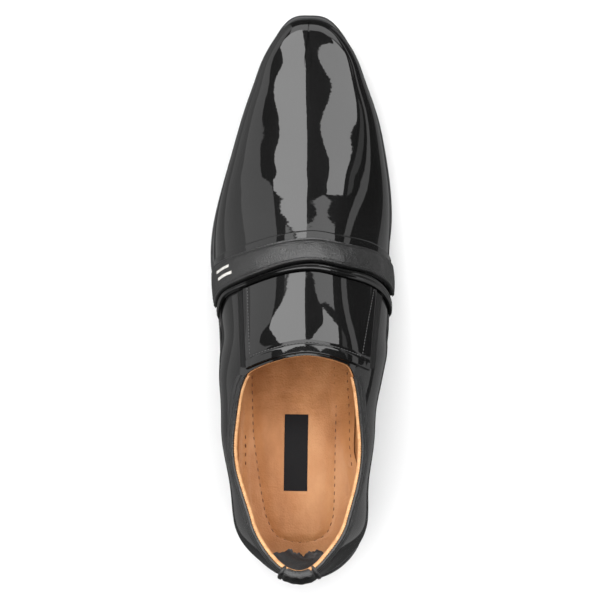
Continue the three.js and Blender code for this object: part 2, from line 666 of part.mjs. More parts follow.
// Instep panel: a patent plate from the piping back to the throat, with an elastic gore along each edge.
const throatEdge = (offset) => throatPlace - throatDepth * (Math.abs(offset) / throatHalf) ** (1 / arcPower);
const panelTaper = 0.91;
const panelLap = 1;
const panelFront = (offset) => {
  const near = pipingRear(aroundAt(strapPlace - 1.5 * strapWidth, offset));
  return pipingRear(aroundAt(near, offset)) - 2 * clearance;
};
const panelAt = (across, along, lift) => {
  const half = panelHalf * mix(1, panelTaper, along);
  const rear = throatEdge(across * half) + panelLap;
  return onInstep(mix(panelFront(across * half), rear, along), across * half, lift);
};
const makePanel = () => {
  const row = (across, lift) => spaced(0, 1, 7).map((along) => panelAt(across, along, lift));
  const grid = (lift) => spaced(-1, 1, 14).map((across) => row(across, lift));
  return slab(grid(clearance), grid(clearance + panelThickness));
};
const makeGore = (hand) => {
  const place = (out, along, lift) => {
    const half = panelHalf * mix(1, panelTaper, along) + clearance + out;
    const rear = throatEdge(panelHalf * panelTaper) + 2 * panelLap;
    return onInstep(mix(panelFront(hand * half) - clearance, rear, along), hand * half, lift);
  };
  const row = (out, lift) => spaced(0, 1, 7).map((along) => place(out, along, lift));
  const grid = (lift) => spaced(0, goreWidth, 2).map((out) => row(out, lift));
  return slab(grid(clearance), grid(clearance + goreThickness));
};

// A channel that straddles the topline: how far it stands off the wall, how thick it is and how far it drops.
const channel = (stops, off, thick, outside, inside) => {
  const section = ({ walk, hand }) => {
    const rim = cutShare(walk, hand);
    const nudge = 0.02;
    const top = lifted(walk, hand, rim, 0);
    const perShare = top.distanceTo(lifted(walk, hand, rim - nudge, 0)) / nudge;
    const outward = lifted(walk, hand, rim, 1).sub(top);
    const upward = top.clone().sub(lifted(walk, hand, rim - nudge, 0)).normalize();
    const down = (depth, lift) => lifted(walk, hand, rim - depth / perShare, lift);
    const over = (lift, rise) => top.clone().addScaledVector(outward, lift).addScaledVector(upward, rise);
    const back = -wall - off;
    return [
      down(outside, off),
      down(outside, off + thick),
      down(outside / 2, off + thick),
      over(off + thick, 0),
      over(off, off + thick),
      over(back, off + thick),
      over(back - thick, 0),
      down(inside / 2, back - thick),
      down(inside, back - thick),
      down(inside, back),
      down(inside / 2, back),
      over(back, off),
      over(off, off),
      down(outside / 2, off),
    ];
  };
  const [o, t] = [off, off + thick];
  const b = -wall - off;
  const outline = [
    [o, -outside], [t, -outside], [t, -outside / 2], [t, 0], [o, t], [b, t],
    [b - thick, 0], [b - thick, -inside / 2], [b - thick, -inside], [b, -inside], [b, -inside / 2],
    [b, o], [o, o], [o, -outside / 2],
  ].map(([x, y]) => new THREE.Vector2(x, y));
  return bar(stops.map(section), outline);
};
const roundHeel = (walks) => [
  ...walks.map((walk) => ({ walk, hand: -1 })),
  ...[...walks].reverse().slice(1).map((walk) => ({ walk, hand: 1 })),
];
const bindingStart = 11;
const makeBinding = () => {
  const start = walkAt(throatPlace - bindingStart);
  const walks = [start, ...upperWalks.filter((walk) => walk > start + 0.01)];
  return channel(roundHeel(walks), clearance, bindingWall, bindingDrop, bindingDrop);
};
const makeTab = () => {
  const start = wholeWalk - tabWidth / 2 / soleLength;
  const walks = [start, ...upperWalks.filter((walk) => walk > start)];
  return channel(roundHeel(walks), 2.5 * clearance + bindingWall, tabWall, tabDrop, bindingDrop + clearance);
};

// Materials.
const material = (color, roughness) => new THREE.MeshStandardMaterial({ color, roughness, metalness: 0 });
const patent = material(0x0b0b0c, 0.06);
const matteBlack = material(0x161617, 0.6);
const rubber = material(0x3b3b3c, 0.7);
const edgeBlack = material(0x1b1b1c, 0.45);
const elastic = material(0x101011, 0.9);
const tanLeather = material(0xbe8255, 0.6);

const pieces = [
  ["outsole", makeOutsole(), rubber],
  ["heel", makeHeel(), rubber],
  ["welt", makeWelt(), edgeBlack],
  ["insole", makeInsole(), tanLeather],
  ["upper", makeUpper(), patent],
  ["strap_underlay", makeUnderlay(), patent],
  ["saddle_strap", makeStrap(), matteBlack],
  ["strap_piping", makePiping(), patent],
  ["instep_panel", makePanel(), patent],
  ["gore_outer", makeGore(-1), elastic],
  ["gore_inner", makeGore(1), elastic],
  ["collar_binding", makeBinding(), matteBlack],
  ["heel_tab", makeTab(), matteBlack],
];

// The shoe stands on the floor with the middle of its bounding box over the origin.
const shoe = new THREE.Group();
for (const [name, geometry, finish] of pieces) {
  const mesh = new THREE.Mesh(geometry, finish);
  mesh.name = name;
  shoe.add(mesh);
}
const box = new THREE.Box3().setFromObject(shoe);
const middle = box.getCenter(new THREE.Vector3());
shoe.position.set(-middle.x, -middle.y, -box.min.z);

export default shoe;
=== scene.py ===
import math

import bmesh
import bpy
import numpy as np
from mathutils import Matrix, Vector


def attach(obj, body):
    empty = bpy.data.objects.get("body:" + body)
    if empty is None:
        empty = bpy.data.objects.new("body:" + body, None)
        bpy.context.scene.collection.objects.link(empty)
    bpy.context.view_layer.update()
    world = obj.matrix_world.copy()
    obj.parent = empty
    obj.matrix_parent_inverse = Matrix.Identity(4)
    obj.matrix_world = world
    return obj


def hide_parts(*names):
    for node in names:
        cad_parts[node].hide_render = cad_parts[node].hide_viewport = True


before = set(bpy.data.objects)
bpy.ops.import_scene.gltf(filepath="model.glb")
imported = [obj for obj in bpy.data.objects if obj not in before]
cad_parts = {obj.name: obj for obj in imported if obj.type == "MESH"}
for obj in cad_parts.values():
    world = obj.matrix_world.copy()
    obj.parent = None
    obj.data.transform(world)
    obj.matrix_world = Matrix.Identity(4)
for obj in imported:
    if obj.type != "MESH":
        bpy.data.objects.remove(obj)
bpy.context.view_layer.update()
scene = bpy.context.scene

# Outsole: a moulded unit of dark grey rubber, with a plain rim round a field of quilted diamonds and a
# waist that rises to the heel seat. A panel outlined in mock stitches and a plain ring are moulded into
# the waist. It is cemented under the welt.
SHOE_SHIFT = (2.598, -149.511, 0.0)
SOLE_LENGTH = 299.0
BALL_WIDTH = 97.0
HEEL_WIDTH = 67.0
HEEL_HEIGHT = 22.7
TOE_SPRING = 11.0
SPRING_POWER = 1.8
FLAT_REAR = 0.562 * SOLE_LENGTH
FLAT_FRONT = 0.696 * SOLE_LENGTH
SEAT_FRONT = 0.194 * SOLE_LENGTH
OUTSOLE_THICKNESS = 4.5
CLEARANCE = 0.3


def mix(a, b, t):
    return a + (b - a) * t


def ease(t):
    t = np.clip(t, 0.0, 1.0)
    return t * t * (3.0 - 2.0 * t)


def bump(t):
    """A soft hill of height 1 at t = 0 that has died out by about t = 2."""
    return np.exp(-np.square(t))


# A walk goes once round half of the shoe in shares of the sole's length: from the tip of the toe, round
# the toe pivot, straight back along the side, and round the heel pivot to the back of the heel.
TOE_PIVOT = 0.9
HEEL_PIVOT = 0.11
TOE_ARC = 0.15
HEEL_ARC = 0.173
STRAIGHT = TOE_PIVOT - HEEL_PIVOT
WHOLE_WALK = TOE_ARC + STRAIGHT + HEEL_ARC


def toe(degrees):
    return TOE_ARC * degrees / 90


def side(along):
    return TOE_ARC + TOE_PIVOT - along


def heel(degrees):
    return TOE_ARC + STRAIGHT + HEEL_ARC * degrees / 90


def walk_at(y):
    return side(y / SOLE_LENGTH)


def along_of(walk):
    return np.clip(TOE_ARC + TOE_PIVOT - walk, HEEL_PIVOT, TOE_PIVOT)


def turn_of(walk):
    in_toe = np.minimum(walk, TOE_ARC) / TOE_ARC
    in_heel = np.maximum(0.0, walk - TOE_ARC - STRAIGHT) / HEEL_ARC
    return (in_toe + in_heel) * math.pi / 2


def through(x, y, at, start=0.0, end=0.0):
    """The smooth curve through y at x, read at the places at. A slope of None leaves that end free."""
    x, y, at = np.asarray(x, float), np.asarray(y, float), np.asarray(at, float)
    step = np.diff(x)
    rise = np.diff(y, axis=0) / step.reshape((-1,) + (1,) * (y.ndim - 1))
    rows, right = np.zeros((len(x), len(x))), np.zeros(y.shape)
    for i in range(1, len(x) - 1):
        before, after = 1 / step[i - 1], 1 / step[i]
        rows[i, i - 1 : i + 2] = before, 2 * (before + after), after
        right[i] = 3 * (rise[i - 1] * before + rise[i] * after)
    rows[0, :2] = (2, 1) if start is None else (1, 0)
    right[0] = 3 * rise[0] if start is None else start
    rows[-1, -2:] = (1, 2) if end is None else (0, 1)
    right[-1] = 3 * rise[-1] if end is None else end
    slope = np.tensordot(np.linalg.inv(rows), right, 1)
    i = np.clip(np.searchsorted(x, at) - 1, 0, len(x) - 2)
    pick = (lambda a, j: a[j]) if y.ndim == 1 else (lambda a, j: np.take_along_axis(a, j[None], 0)[0])
    h, t = step[i], (at - x[i]) / step[i]
    near = (1 + 2 * t) * (1 - t) ** 2 * pick(y, i) + t * (1 - t) ** 2 * h * pick(slope, i)
    return near + t * t * (3 - 2 * t) * pick(y, i + 1) + t * t * (t - 1) * h * pick(slope, i + 1)


def column_of(rows, column, at, start=0.0, end=0.0):
    table = np.array(rows, float)
    return through(table[:, 0], table[:, column], at, start, end)


# Walk, then shares of the local width: sole outer and inner, upper outer and inner; then the welt's
# ledge.
PLAN = [
    (toe(0), 0.312, 0.312, 0.274, 0.274, 1),
    (toe(15), 0.315, 0.313, 0.276, 0.275, 1),
    (toe(32), 0.29, 0.291, 0.264, 0.267, 0.86),
    (toe(55), 0.259, 0.268, 0.247, 0.258, 0.62),
    (toe(90), 0.28, 0.293, 0.271, 0.285, 0.62),
    (side(0.84), 0.344, 0.362, 0.334, 0.353, 0.62),
    (side(0.76), 0.423, 0.423, 0.406, 0.41, 0.65),
    (side(0.68), 0.49, 0.458, 0.468, 0.443, 0.7),
    (side(0.61), 0.532, 0.457, 0.497, 0.446, 0.75),
    (side(0.56), 0.536, 0.427, 0.497, 0.445, 0.75),
    (side(0.51), 0.523, 0.371, 0.497, 0.461, 0.6),
    (side(0.46), 0.52, 0.298, 0.51, 0.488, 0.4),
    (side(0.42), 0.516, 0.26, 0.535, 0.516, 0.3),
    (side(0.36), 0.512, 0.278, 0.587, 0.535, 0.3),
    (side(0.28), 0.531, 0.361, 0.59, 0.525, 0.3),
    (side(0.2), 0.546, 0.451, 0.568, 0.515, 0.3),
    (side(0.11), 0.512, 0.487, 0.52, 0.498, 0.3),
    (heel(45), 0.484, 0.493, 0.432, 0.412, 0.6),
    (heel(90), 0.496, 0.496, 0.447, 0.447, 0.6),
]
WAIST_REAR = 0.28
WAIST_FRONT = 0.56
WELT_LEDGE = 4.2


def reach_of(walk, hand, outer, inner):
    width = mix(HEEL_WIDTH, BALL_WIDTH, ease((along_of(walk) - WAIST_REAR) / (WAIST_FRONT - WAIST_REAR)))
    return width * np.where(hand < 0, column_of(PLAN, outer, walk), column_of(PLAN, inner, walk))


def sole_reach(walk, hand):
    return reach_of(walk, hand, 1, 2)


def upper_reach(walk, hand):
    return reach_of(walk, hand, 3, 4)


def feather_reach(walk, hand):
    return sole_reach(walk, hand) - column_of(PLAN, 5, walk) * WELT_LEDGE


def plan_point(walk, hand, reach):
    x = hand * reach * np.sin(turn_of(walk))
    return x, along_of(walk) * SOLE_LENGTH + reach * np.cos(turn_of(walk))


def underside(y):
    spring = TOE_SPRING * np.clip((y - FLAT_FRONT) / (SOLE_LENGTH - FLAT_FRONT), 0, None) ** SPRING_POWER
    return spring + (HEEL_HEIGHT + CLEARANCE) * ease((FLAT_REAR - y) / (FLAT_REAR - SEAT_FRONT))


def outsole_top(y):
    return underside(y) + OUTSOLE_THICKNESS


# Quilting: a lattice that leans and narrows towards the waist. Diamonds rise from thin lines between
# them.
TREAD_RIM = 3.5
TREAD_DEPTH = 1.2
TREAD_PITCH = 16.0
TREAD_ROW = 15.2
TREAD_LINE = 0.45
LATTICE_START = 0.943 * SOLE_LENGTH
LATTICE_GROW = 0.35
LATTICE_NARROW = 0.042
LATTICE_LEAN = 0.08
RIDGE_SHIFT = 3.0
FIELD_OUTER = (-0.397 * BALL_WIDTH, 0.4368 * SOLE_LENGTH)
FIELD_APEX = (-0.033 * BALL_WIDTH, 0.5027 * SOLE_LENGTH)
FIELD_INNER = (0.204 * BALL_WIDTH, 0.4622 * SOLE_LENGTH)


def quilting(x, y):
    """How deep the tread is sunk at a place: 0 on a diamond's tip and deepest beside the raised lines."""
    back = LATTICE_START - y
    inside = np.maximum(TREAD_ROW**2 + 4 * LATTICE_GROW * back, 1.0)
    row = (np.sqrt(inside) - TREAD_ROW) / (2 * LATTICE_GROW)
    column = (x - RIDGE_SHIFT + LATTICE_LEAN * back) / (TREAD_PITCH - LATTICE_NARROW * back)
    first = np.abs((column + 2 * row) % 2 - 1)
    second = np.abs((column - 2 * row) % 2 - 1)
    softness = 0.012
    out = (first + second + np.sqrt((first - second) ** 2 + softness)) / 2
    facet = np.clip(out, 0, 1) ** 0.9
    line = TREAD_LINE * bump((1 - np.maximum(first, second)) / 0.05)
    return TREAD_DEPTH * facet - line


def ahead_of_field(x, y):
    """How far ahead of the chevron that ends the quilting a place lies."""
    outer = mix(FIELD_APEX[1], FIELD_OUTER[1], (FIELD_APEX[0] - x) / (FIELD_APEX[0] - FIELD_OUTER[0]))
    inner = mix(FIELD_APEX[1], FIELD_INNER[1], (x - FIELD_APEX[0]) / (FIELD_INNER[0] - FIELD_APEX[0]))
    return y - np.where(x < FIELD_APEX[0], outer, inner)


RING_PLACE = (9.6, 126.4)
RING_RADIUS = 5.0
PANEL_SUNK = 0.35
FRAME_SIZE = (30.7, 8.6)
FRAME_PLACE = (11.8, 94.0)


def waist_relief(x, y):
    """The plain ring, raised, and the empty oblong frame of the waist, sunk. Depth counts upwards."""
    ring = np.abs(np.hypot(x - RING_PLACE[0], y - RING_PLACE[1]) - RING_RADIUS)
    inside_x = np.abs(x - FRAME_PLACE[0]) - FRAME_SIZE[0] / 2
    inside_y = np.abs(y - FRAME_PLACE[1]) - FRAME_SIZE[1] / 2
    frame_line = np.abs(np.maximum(inside_x, inside_y))
    return PANEL_SUNK * (bump(frame_line / 0.45) - bump(ring / 0.4))


def half_fan(walks, hand, reaches, height):
    """A grid over one half of the sole: a row for each walk, from the pivots' line out to the edge."""
    walk = walks[:, None] + 0 * reaches
    x, y = plan_point(walk, hand, reaches)
    return np.stack([x, y, height(x, y, reaches)], -1)


def both_halves(walks, make):
    """Both halves of a body as lists of grids, the outer one turned so that its faces point out."""
    return [*make(walks, 1), *[grid[::-1] for grid in make(walks, -1)]]


def mesh_of(name, grids, sharp):
    """One closed mesh from grids of points in millimetres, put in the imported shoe's place in metres."""
    points, faces, first = [], [], 0
    for grid in grids:
        rows, columns = grid.shape[:2]
        index = first + np.arange(rows * columns).reshape(rows, columns)
        corners = [index[:-1, :-1], index[:-1, 1:], index[1:, 1:], index[1:, :-1]]
        faces.append(np.stack(corners, -1).reshape(-1, 4))
        points.append(grid.reshape(-1, 3))
        first += rows * columns
    metres = (np.concatenate(points) + SHOE_SHIFT) / 1000
    mesh = bpy.data.meshes.new(name)
    mesh.from_pydata(metres.tolist(), [], np.concatenate(faces).tolist())
    work = bmesh.new()
    work.from_mesh(mesh)
    bmesh.ops.remove_doubles(work, verts=work.verts, dist=2e-6)
    bmesh.ops.dissolve_degenerate(work, dist=1e-6, edges=work.edges)
    bmesh.ops.recalc_face_normals(work, faces=work.faces)
    work.to_mesh(mesh)
    work.free()
    mesh.shade_smooth()
    mesh.set_sharp_from_angle(angle=math.radians(sharp))
    return mesh


def add_piece(name, mesh, material, slot, *nodes):
    """Puts a mesh in the scene as a piece that rides on the shoe, and hides the imported nodes named in its
    place.
    """
    piece = bpy.data.objects.new(name, mesh)
    scene.collection.objects.link(piece)
    mesh.materials.clear()
    mesh.materials.append(material)
    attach(piece, "root")
    if nodes:
        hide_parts(*nodes)
    return piece


def build_piece(name, grids, material, slot, *nodes, sharp=40.0):
    return add_piece(name, mesh_of(name, grids, sharp), material, slot, *nodes)


def new_material(name, colour, roughness, **settings):
    """A material with its constants set on the shader's own sockets."""
    material = bpy.data.materials.new(name)
    material.use_nodes = True
    shader = material.node_tree.nodes["Principled BSDF"]
    shader.inputs["Base Color"].default_value = (*colour, 1)
    shader.inputs["Roughness"].default_value = roughness
    for socket, value in settings.items():
        shader.inputs[socket.replace("_", " ").title().replace("Ior", "IOR")].default_value = value
    return material


def texture(material, kind, scale, stretch=(1, 1, 1), **sockets):
    """The value of a pattern on the piece's own coordinates. The scale is in repeats to the metre."""
    tree = material.node_tree
    place = tree.nodes.new("ShaderNodeTexCoord")
    mapping = tree.nodes.new("ShaderNodeMapping")
    mapping.inputs["Scale"].default_value = stretch
    pattern = tree.nodes.new("ShaderNodeTex" + kind)
    pattern.inputs["Scale"].default_value = scale
    for socket, value in sockets.items():
        pattern.inputs[socket.replace("_", " ").title()].default_value = value
    tree.links.new(place.outputs["Object"], mapping.inputs["Vector"])
    tree.links.new(mapping.outputs["Vector"], pattern.inputs["Vector"])
    return pattern.outputs["Distance" if kind == "Voronoi" else "Fac"]


def colour_by(material, output, stops, socket="Base Color"):
    """Leads a pattern through a ramp of (place, colour or value) stops into one of the shader's sockets."""
    tree = material.node_tree
    ramp = tree.nodes.new("ShaderNodeValToRGB")
    while len(ramp.color_ramp.elements) < len(stops):
        ramp.color_ramp.elements.new(1.0)
    for element, (place, value) in zip(ramp.color_ramp.elements, stops):
        element.position = place
        element.color = (*value, 1) if isinstance(value, tuple) else (value, value, value, 1)
    tree.links.new(output, ramp.inputs["Fac"])
    tree.links.new(ramp.outputs["Color"], tree.nodes["Principled BSDF"].inputs[socket])


def raise_by(material, output, depth, sockets=("Normal",)):
    """Raises the surface by a pattern, over what raises it already. The depth is in millimetres."""
    tree = material.node_tree
    shader = tree.nodes["Principled BSDF"]
    relief = tree.nodes.new("ShaderNodeBump")
    relief.inputs["Distance"].default_value = depth / 1000
    tree.links.new(output, relief.inputs["Height"])
    before = shader.inputs[sockets[0]].links
    if before:
        tree.links.new(before[0].from_socket, relief.inputs["Normal"])
    for socket in sockets:
        tree.links.new(relief.outputs["Normal"], shader.inputs[socket])


sole_rubber = new_material("sole_rubber", (0.05, 0.05, 0.05), 0.62, specular_ior_level=0.35)
rubber_dust = texture(sole_rubber, "Noise", 55, detail=6)
colour_by(sole_rubber, rubber_dust, [(0.3, (0.037, 0.037, 0.038)), (0.75, (0.066, 0.066, 0.067))])
rubber_skin = texture(sole_rubber, "Noise", 2600, detail=3)
raise_by(sole_rubber, rubber_skin, 0.12)

SOLE_WALKS = np.concatenate([
    np.linspace(toe(0), toe(90), 60)[:-1],
    np.linspace(side(TOE_PIVOT), side(HEEL_PIVOT), 330)[:-1],
    np.linspace(heel(0), heel(90), 60),
])
EDGE_ROUND = 0.8


def outsole_half(walks, hand):
    edge = sole_reach(walks, hand)[:, None]
    inner = (edge - TREAD_RIM - 0.5) * np.linspace(0, 1, 62) ** 0.92
    rim = edge - np.array([TREAD_RIM + 0.25, TREAD_RIM, TREAD_RIM - 0.25, 2.6, 1.6, EDGE_ROUND])
    reaches = np.hstack([inner, rim])

    def tread(x, y, reach):
        inside = ease((edge - TREAD_RIM + 0.25 - reach) / 0.5) * ease(ahead_of_field(x, y) / 1.4)
        groove = 0.3 * bump((edge - reach - TREAD_RIM - 0.1) / 0.3) * ease(ahead_of_field(x, y) / 1.4)
        sunk = inside * (quilting(x, y) + 0.1) + groove
        return underside(y) + sunk + (1 - inside) * waist_relief(x, y)

    rounding = np.radians(np.linspace(0, 90, 5))
    turn = edge - EDGE_ROUND + EDGE_ROUND * np.sin(rounding)
    rise = EDGE_ROUND * (1 - np.cos(rounding))
    lower = half_fan(walks, hand, turn, lambda x, y, reach: underside(y) + rise)
    wall = np.linspace(EDGE_ROUND, OUTSOLE_THICKNESS, 5)
    upright = half_fan(walks, hand, edge + 0 * wall, lambda x, y, reach: underside(y) + wall)
    lid = half_fan(walks, hand, edge * np.linspace(1, 0, 9), lambda x, y, reach: outsole_top(y))
    return [half_fan(walks, hand, reaches, tread), lower, upright, lid]


build_piece("outsole_rubber", both_halves(SOLE_WALKS, outsole_half), sole_rubber, "sole_rubber", "outsole")

# Heel: a low block of the same rubber, with a hollow breast that leans forward, a flat face crossed by
# three pairs of grooves, and a finely dotted half-disc behind them. It is nailed and cemented under the
# heel seat.
HEEL_LENGTH = 76.0
HEEL_TAPER = 1.0
HEEL_CHAMFER = 1.3
CHAMFER_HEIGHT = 1.2
BREAST_HOLLOW = 4.7
BREAST_LEAN = 7.0
GROOVE_WIDTH = 1.0
GROOVE_SPACING = 1.8
GROOVE_DEPTH = 1.1
GROOVE_PITCH = 5.2
GROOVE_FIRST = 0.664 * HEEL_LENGTH
GROOVE_TILT = math.tan(math.radians(3))


def breast(x, z):
    """Where the breast stands along the shoe, at a place across it and a height."""
    radius = ((HEEL_WIDTH / 2) ** 2 + BREAST_HOLLOW**2) / (2 * BREAST_HOLLOW)
    leaned = radius - BREAST_LEAN * z / (2 * HEEL_HEIGHT)
    return HEEL_LENGTH + radius - np.sqrt(leaned**2 - x**2)


def grooves(x, y):
    sunk = 0 * x
    for pair in range(3):
        for step in (0, GROOVE_SPACING):
            off = y - GROOVE_FIRST + pair * GROOVE_PITCH + step - GROOVE_TILT * x
            sunk = np.maximum(sunk, GROOVE_DEPTH * ease(1.6 - 2.2 * np.abs(off) / GROOVE_WIDTH))
    return sunk


def heel_surface(stretch, walk, share, height, hand):
    """Points of the block: straight rows from the heel pivot to the breast, and fans that close the back."""
    x, y = plan_point(walk, hand, share * sole_reach(walk, hand))
    for _ in range(4):
        z = height(y)
        inset = HEEL_TAPER * (1 - z / HEEL_HEIGHT) + HEEL_CHAMFER * np.clip(1 - z / CHAMFER_HEIGHT, 0, 1) ** 2
        y = np.where(stretch > 0, mix(HEEL_PIVOT * SOLE_LENGTH, breast(x, z), stretch), y)
        place = np.where(stretch > 0, walk_at(y), walk)
        x, y = plan_point(place, hand, share * (sole_reach(place, hand) - inset))
    return np.stack(np.broadcast_arrays(x, y, z), -1)


def heel_half(walks, hand):
    stretch = np.concatenate([np.linspace(1, 0, 150), 0 * walks[1:]])[:, None]
    walk = np.concatenate([np.full(150, side(HEEL_PIVOT)), walks[1:]])[:, None]
    seat_height = lambda y: underside(y) - 0.02
    levels = np.concatenate([np.linspace(0, 0.055, 5), np.linspace(0.08, 1, 12)])
    face = heel_surface(stretch, walk, np.linspace(0, 1, 36)[None], lambda y: 0 * y, hand)
    face[..., 2] = grooves(face[..., 0], face[..., 1])
    wall = heel_surface(stretch, walk, 1.0, lambda y: levels[None] * seat_height(y), hand)
    wall[:, 0, 2] = face[:, -1, 2]
    lid = heel_surface(stretch, walk, np.linspace(1, 0, 8)[None], seat_height, hand)
    front = heel_surface(np.array([[1.0]]), side(HEEL_PIVOT), np.linspace(0, 1, 36)[:, None],
                         lambda y: levels[None] * seat_height(y), hand)
    return [face, wall, lid, front[::-1]]


HEEL_BACK = np.linspace(heel(0), heel(90), 50)
build_piece("heel_rubber", both_halves(HEEL_BACK, heel_half), sole_rubber, "sole_rubber", "heel", sharp=35)

# Mock stitches and dots: moulded on the rubber, in a line round the waist's panel and over the back of
# the heel's face. One set of geometry nodes lays every row of stitches on the shoe along its path.
PANEL_STITCHES = [
    (17.1, 94), (16.9, 105), (16.1, 124.7), (20, 135), (22.9, 140.3), (7.5, 147.6), (-21.5, 129),
    (-18.8, 123.5), (-17.9, 108.4), (-17.9, 94),
]


def add_node(tree, kind, **sockets):
    node = tree.nodes.new(kind)
    for name, value in sockets.items():
        node.inputs[name.replace("_", " ").title()].default_value = value
    return node


def input_of(tree, name, kind):
    return tree.interface.new_socket(name=name, in_out="INPUT", socket_type=kind)


def stitch_tree():
    """Geometry nodes that lay small rounded stitches along paths whose points carry the surface's up."""
    tree = bpy.data.node_groups.new("stitches", "GeometryNodeTree")
    tree.interface.new_socket(name="Geometry", in_out="OUTPUT", socket_type="NodeSocketGeometry")
    sockets = {name: input_of(tree, name, kind) for name, kind in [
        ("Geometry", "NodeSocketGeometry"), ("Spacing", "NodeSocketFloat"), ("Size", "NodeSocketVector"),
        ("Thread", "NodeSocketMaterial"),
    ]}
    start, end = tree.nodes.new("NodeGroupInput"), tree.nodes.new("NodeGroupOutput")
    path = tree.nodes.new("GeometryNodeMeshToCurve")
    spaced = tree.nodes.new("GeometryNodeResampleCurve")
    spaced.mode = "LENGTH"
    stitch = add_node(tree, "GeometryNodeMeshUVSphere", segments=8, rings=5, radius=0.5)
    upward = tree.nodes.new("GeometryNodeInputNamedAttribute")
    upward.data_type = "FLOAT_VECTOR"
    upward.inputs["Name"].default_value = "up"
    tangent = tree.nodes.new("GeometryNodeInputTangent")
    turn = tree.nodes.new("FunctionNodeAxesToRotation")
    turn.primary_axis, turn.secondary_axis = "Z", "X"
    laid = tree.nodes.new("GeometryNodeInstanceOnPoints")
    real = tree.nodes.new("GeometryNodeRealizeInstances")
    smooth = tree.nodes.new("GeometryNodeSetShadeSmooth")
    finish = tree.nodes.new("GeometryNodeSetMaterial")
    for source, target in [
        (start.outputs["Geometry"], path.inputs["Mesh"]),
        (path.outputs["Curve"], spaced.inputs["Curve"]),
        (start.outputs["Spacing"], spaced.inputs["Length"]),
        (spaced.outputs["Curve"], laid.inputs["Points"]),
        (stitch.outputs["Mesh"], laid.inputs["Instance"]),
        (start.outputs["Size"], laid.inputs["Scale"]),
        (upward.outputs["Attribute"], turn.inputs["Primary Axis"]),
        (tangent.outputs["Tangent"], turn.inputs["Secondary Axis"]),
        (turn.outputs["Rotation"], laid.inputs["Rotation"]),
        (laid.outputs["Instances"], real.inputs["Geometry"]),
        (real.outputs["Geometry"], smooth.inputs["Geometry"]),
        (smooth.outputs["Geometry"], finish.inputs["Geometry"]),
        (start.outputs["Thread"], finish.inputs["Material"]),
        (finish.outputs["Geometry"], end.inputs["Geometry"]),
    ]:
        tree.links.new(source, target)
    return tree, {name: socket.identifier for name, socket in sockets.items()}


stitches, stitch_inputs = stitch_tree()


def sew(name, paths, spacing, size, thread, slot):
    """Sews stitches of a size (long, wide, high) along paths of points and their ups, all in millimetres."""
    points, ups, edges = [], [], []
    for line, upward in paths:
        first = sum(len(done) for done in points)
        edges += [(first + i, first + i + 1) for i in range(len(line) - 1)]
        points.append(line)
        ups.append(upward)
    mesh = bpy.data.meshes.new(name + "_path")
    mesh.from_pydata(((np.concatenate(points) + SHOE_SHIFT) / 1000).tolist(), edges, [])
    mesh.attributes.new("up", "FLOAT_VECTOR", "POINT").data.foreach_set("vector", np.concatenate(ups).ravel())
    path = bpy.data.objects.new(name + "_path", mesh)
    scene.collection.objects.link(path)
    layer = path.modifiers.new("stitches", "NODES")
    layer.node_group = stitches
    layer[stitch_inputs["Spacing"]] = spacing / 1000
    layer[stitch_inputs["Size"]] = [length / 1000 for length in size]
    layer[stitch_inputs["Thread"]] = thread
    depsgraph = bpy.context.evaluated_depsgraph_get()
    sewn = bpy.data.meshes.new_from_object(path.evaluated_get(depsgraph))
    sewn.name = name
    bpy.data.objects.remove(path)
    return add_piece(name, sewn, thread, slot)


def dense(corners, step=0.5):
    """A line through corners, as evenly close points."""
    corners = np.array(corners, float)
    length = np.concatenate([[0], np.cumsum(np.linalg.norm(np.diff(corners, axis=0), axis=1))])
    at = np.linspace(0, length[-1], max(2, int(length[-1] / step)))
    return np.stack([np.interp(at, length, column) for column in corners.T], -1)


def standing(points, up):
    """A path for stitches that stand up from it, or down with up at -1."""
    return points, np.tile([0.0, 0.0, up], (len(points), 1))


def under_sole(line):
    return standing(np.column_stack([line, underside(line[:, 1])]), -1.0)


MOCK_STITCH = (2.1, 0.75, 0.7)
MOCK_PITCH = 2.9
panel_outline = under_sole(dense(PANEL_STITCHES))
sew("mock_stitches", [panel_outline], MOCK_PITCH, MOCK_STITCH, sole_rubber, "sole_rubber")

DOT = (0.85, 0.85, 0.5)
DOT_PITCH = 1.9
DOTS_FRONT = 0.44 * HEEL_LENGTH
DOTS_BACK = 2.0
DOTS_RADIUS = 28.5
ROW_PITCH = 0.87 * DOT_PITCH
dot_rows = []
for i, y in enumerate(np.arange(DOTS_FRONT, DOTS_BACK, -ROW_PITCH)):
    behind = max(0.0, HEEL_PIVOT * SOLE_LENGTH - y)
    half = math.sqrt(max(0.0, DOTS_RADIUS**2 - behind**2))
    if half > DOT_PITCH:
        xs = np.arange(-half + (i % 2) * DOT_PITCH / 2, half, DOT_PITCH)
        line = np.column_stack([xs[[0, -1]], [y, y], [0, 0]])
        dot_rows.append(standing(line, -1.0))
sew("heel_dots", dot_rows, DOT_PITCH, DOT, sole_rubber, "sole_rubber")

# Welt: a thin black band, glued between the outsole and the upper. Its edge shows all round, and its
# ledge is widest round the toe.
WELT_THICKNESS = 2.5
WELT_INSET = 0.6
WALL = 1.8
edge_black = new_material("edge_black", (0.018, 0.018, 0.019), 0.33, coat_weight=0.35, coat_roughness=0.2)
edge_wear = texture(edge_black, "Noise", 260, detail=4)
colour_by(edge_black, edge_wear, [(0.35, (0.012, 0.012, 0.013)), (0.8, (0.028, 0.028, 0.029))])
raise_by(edge_black, edge_wear, 0.1)


def welt_top(y):
    return outsole_top(y) + CLEARANCE + WELT_THICKNESS


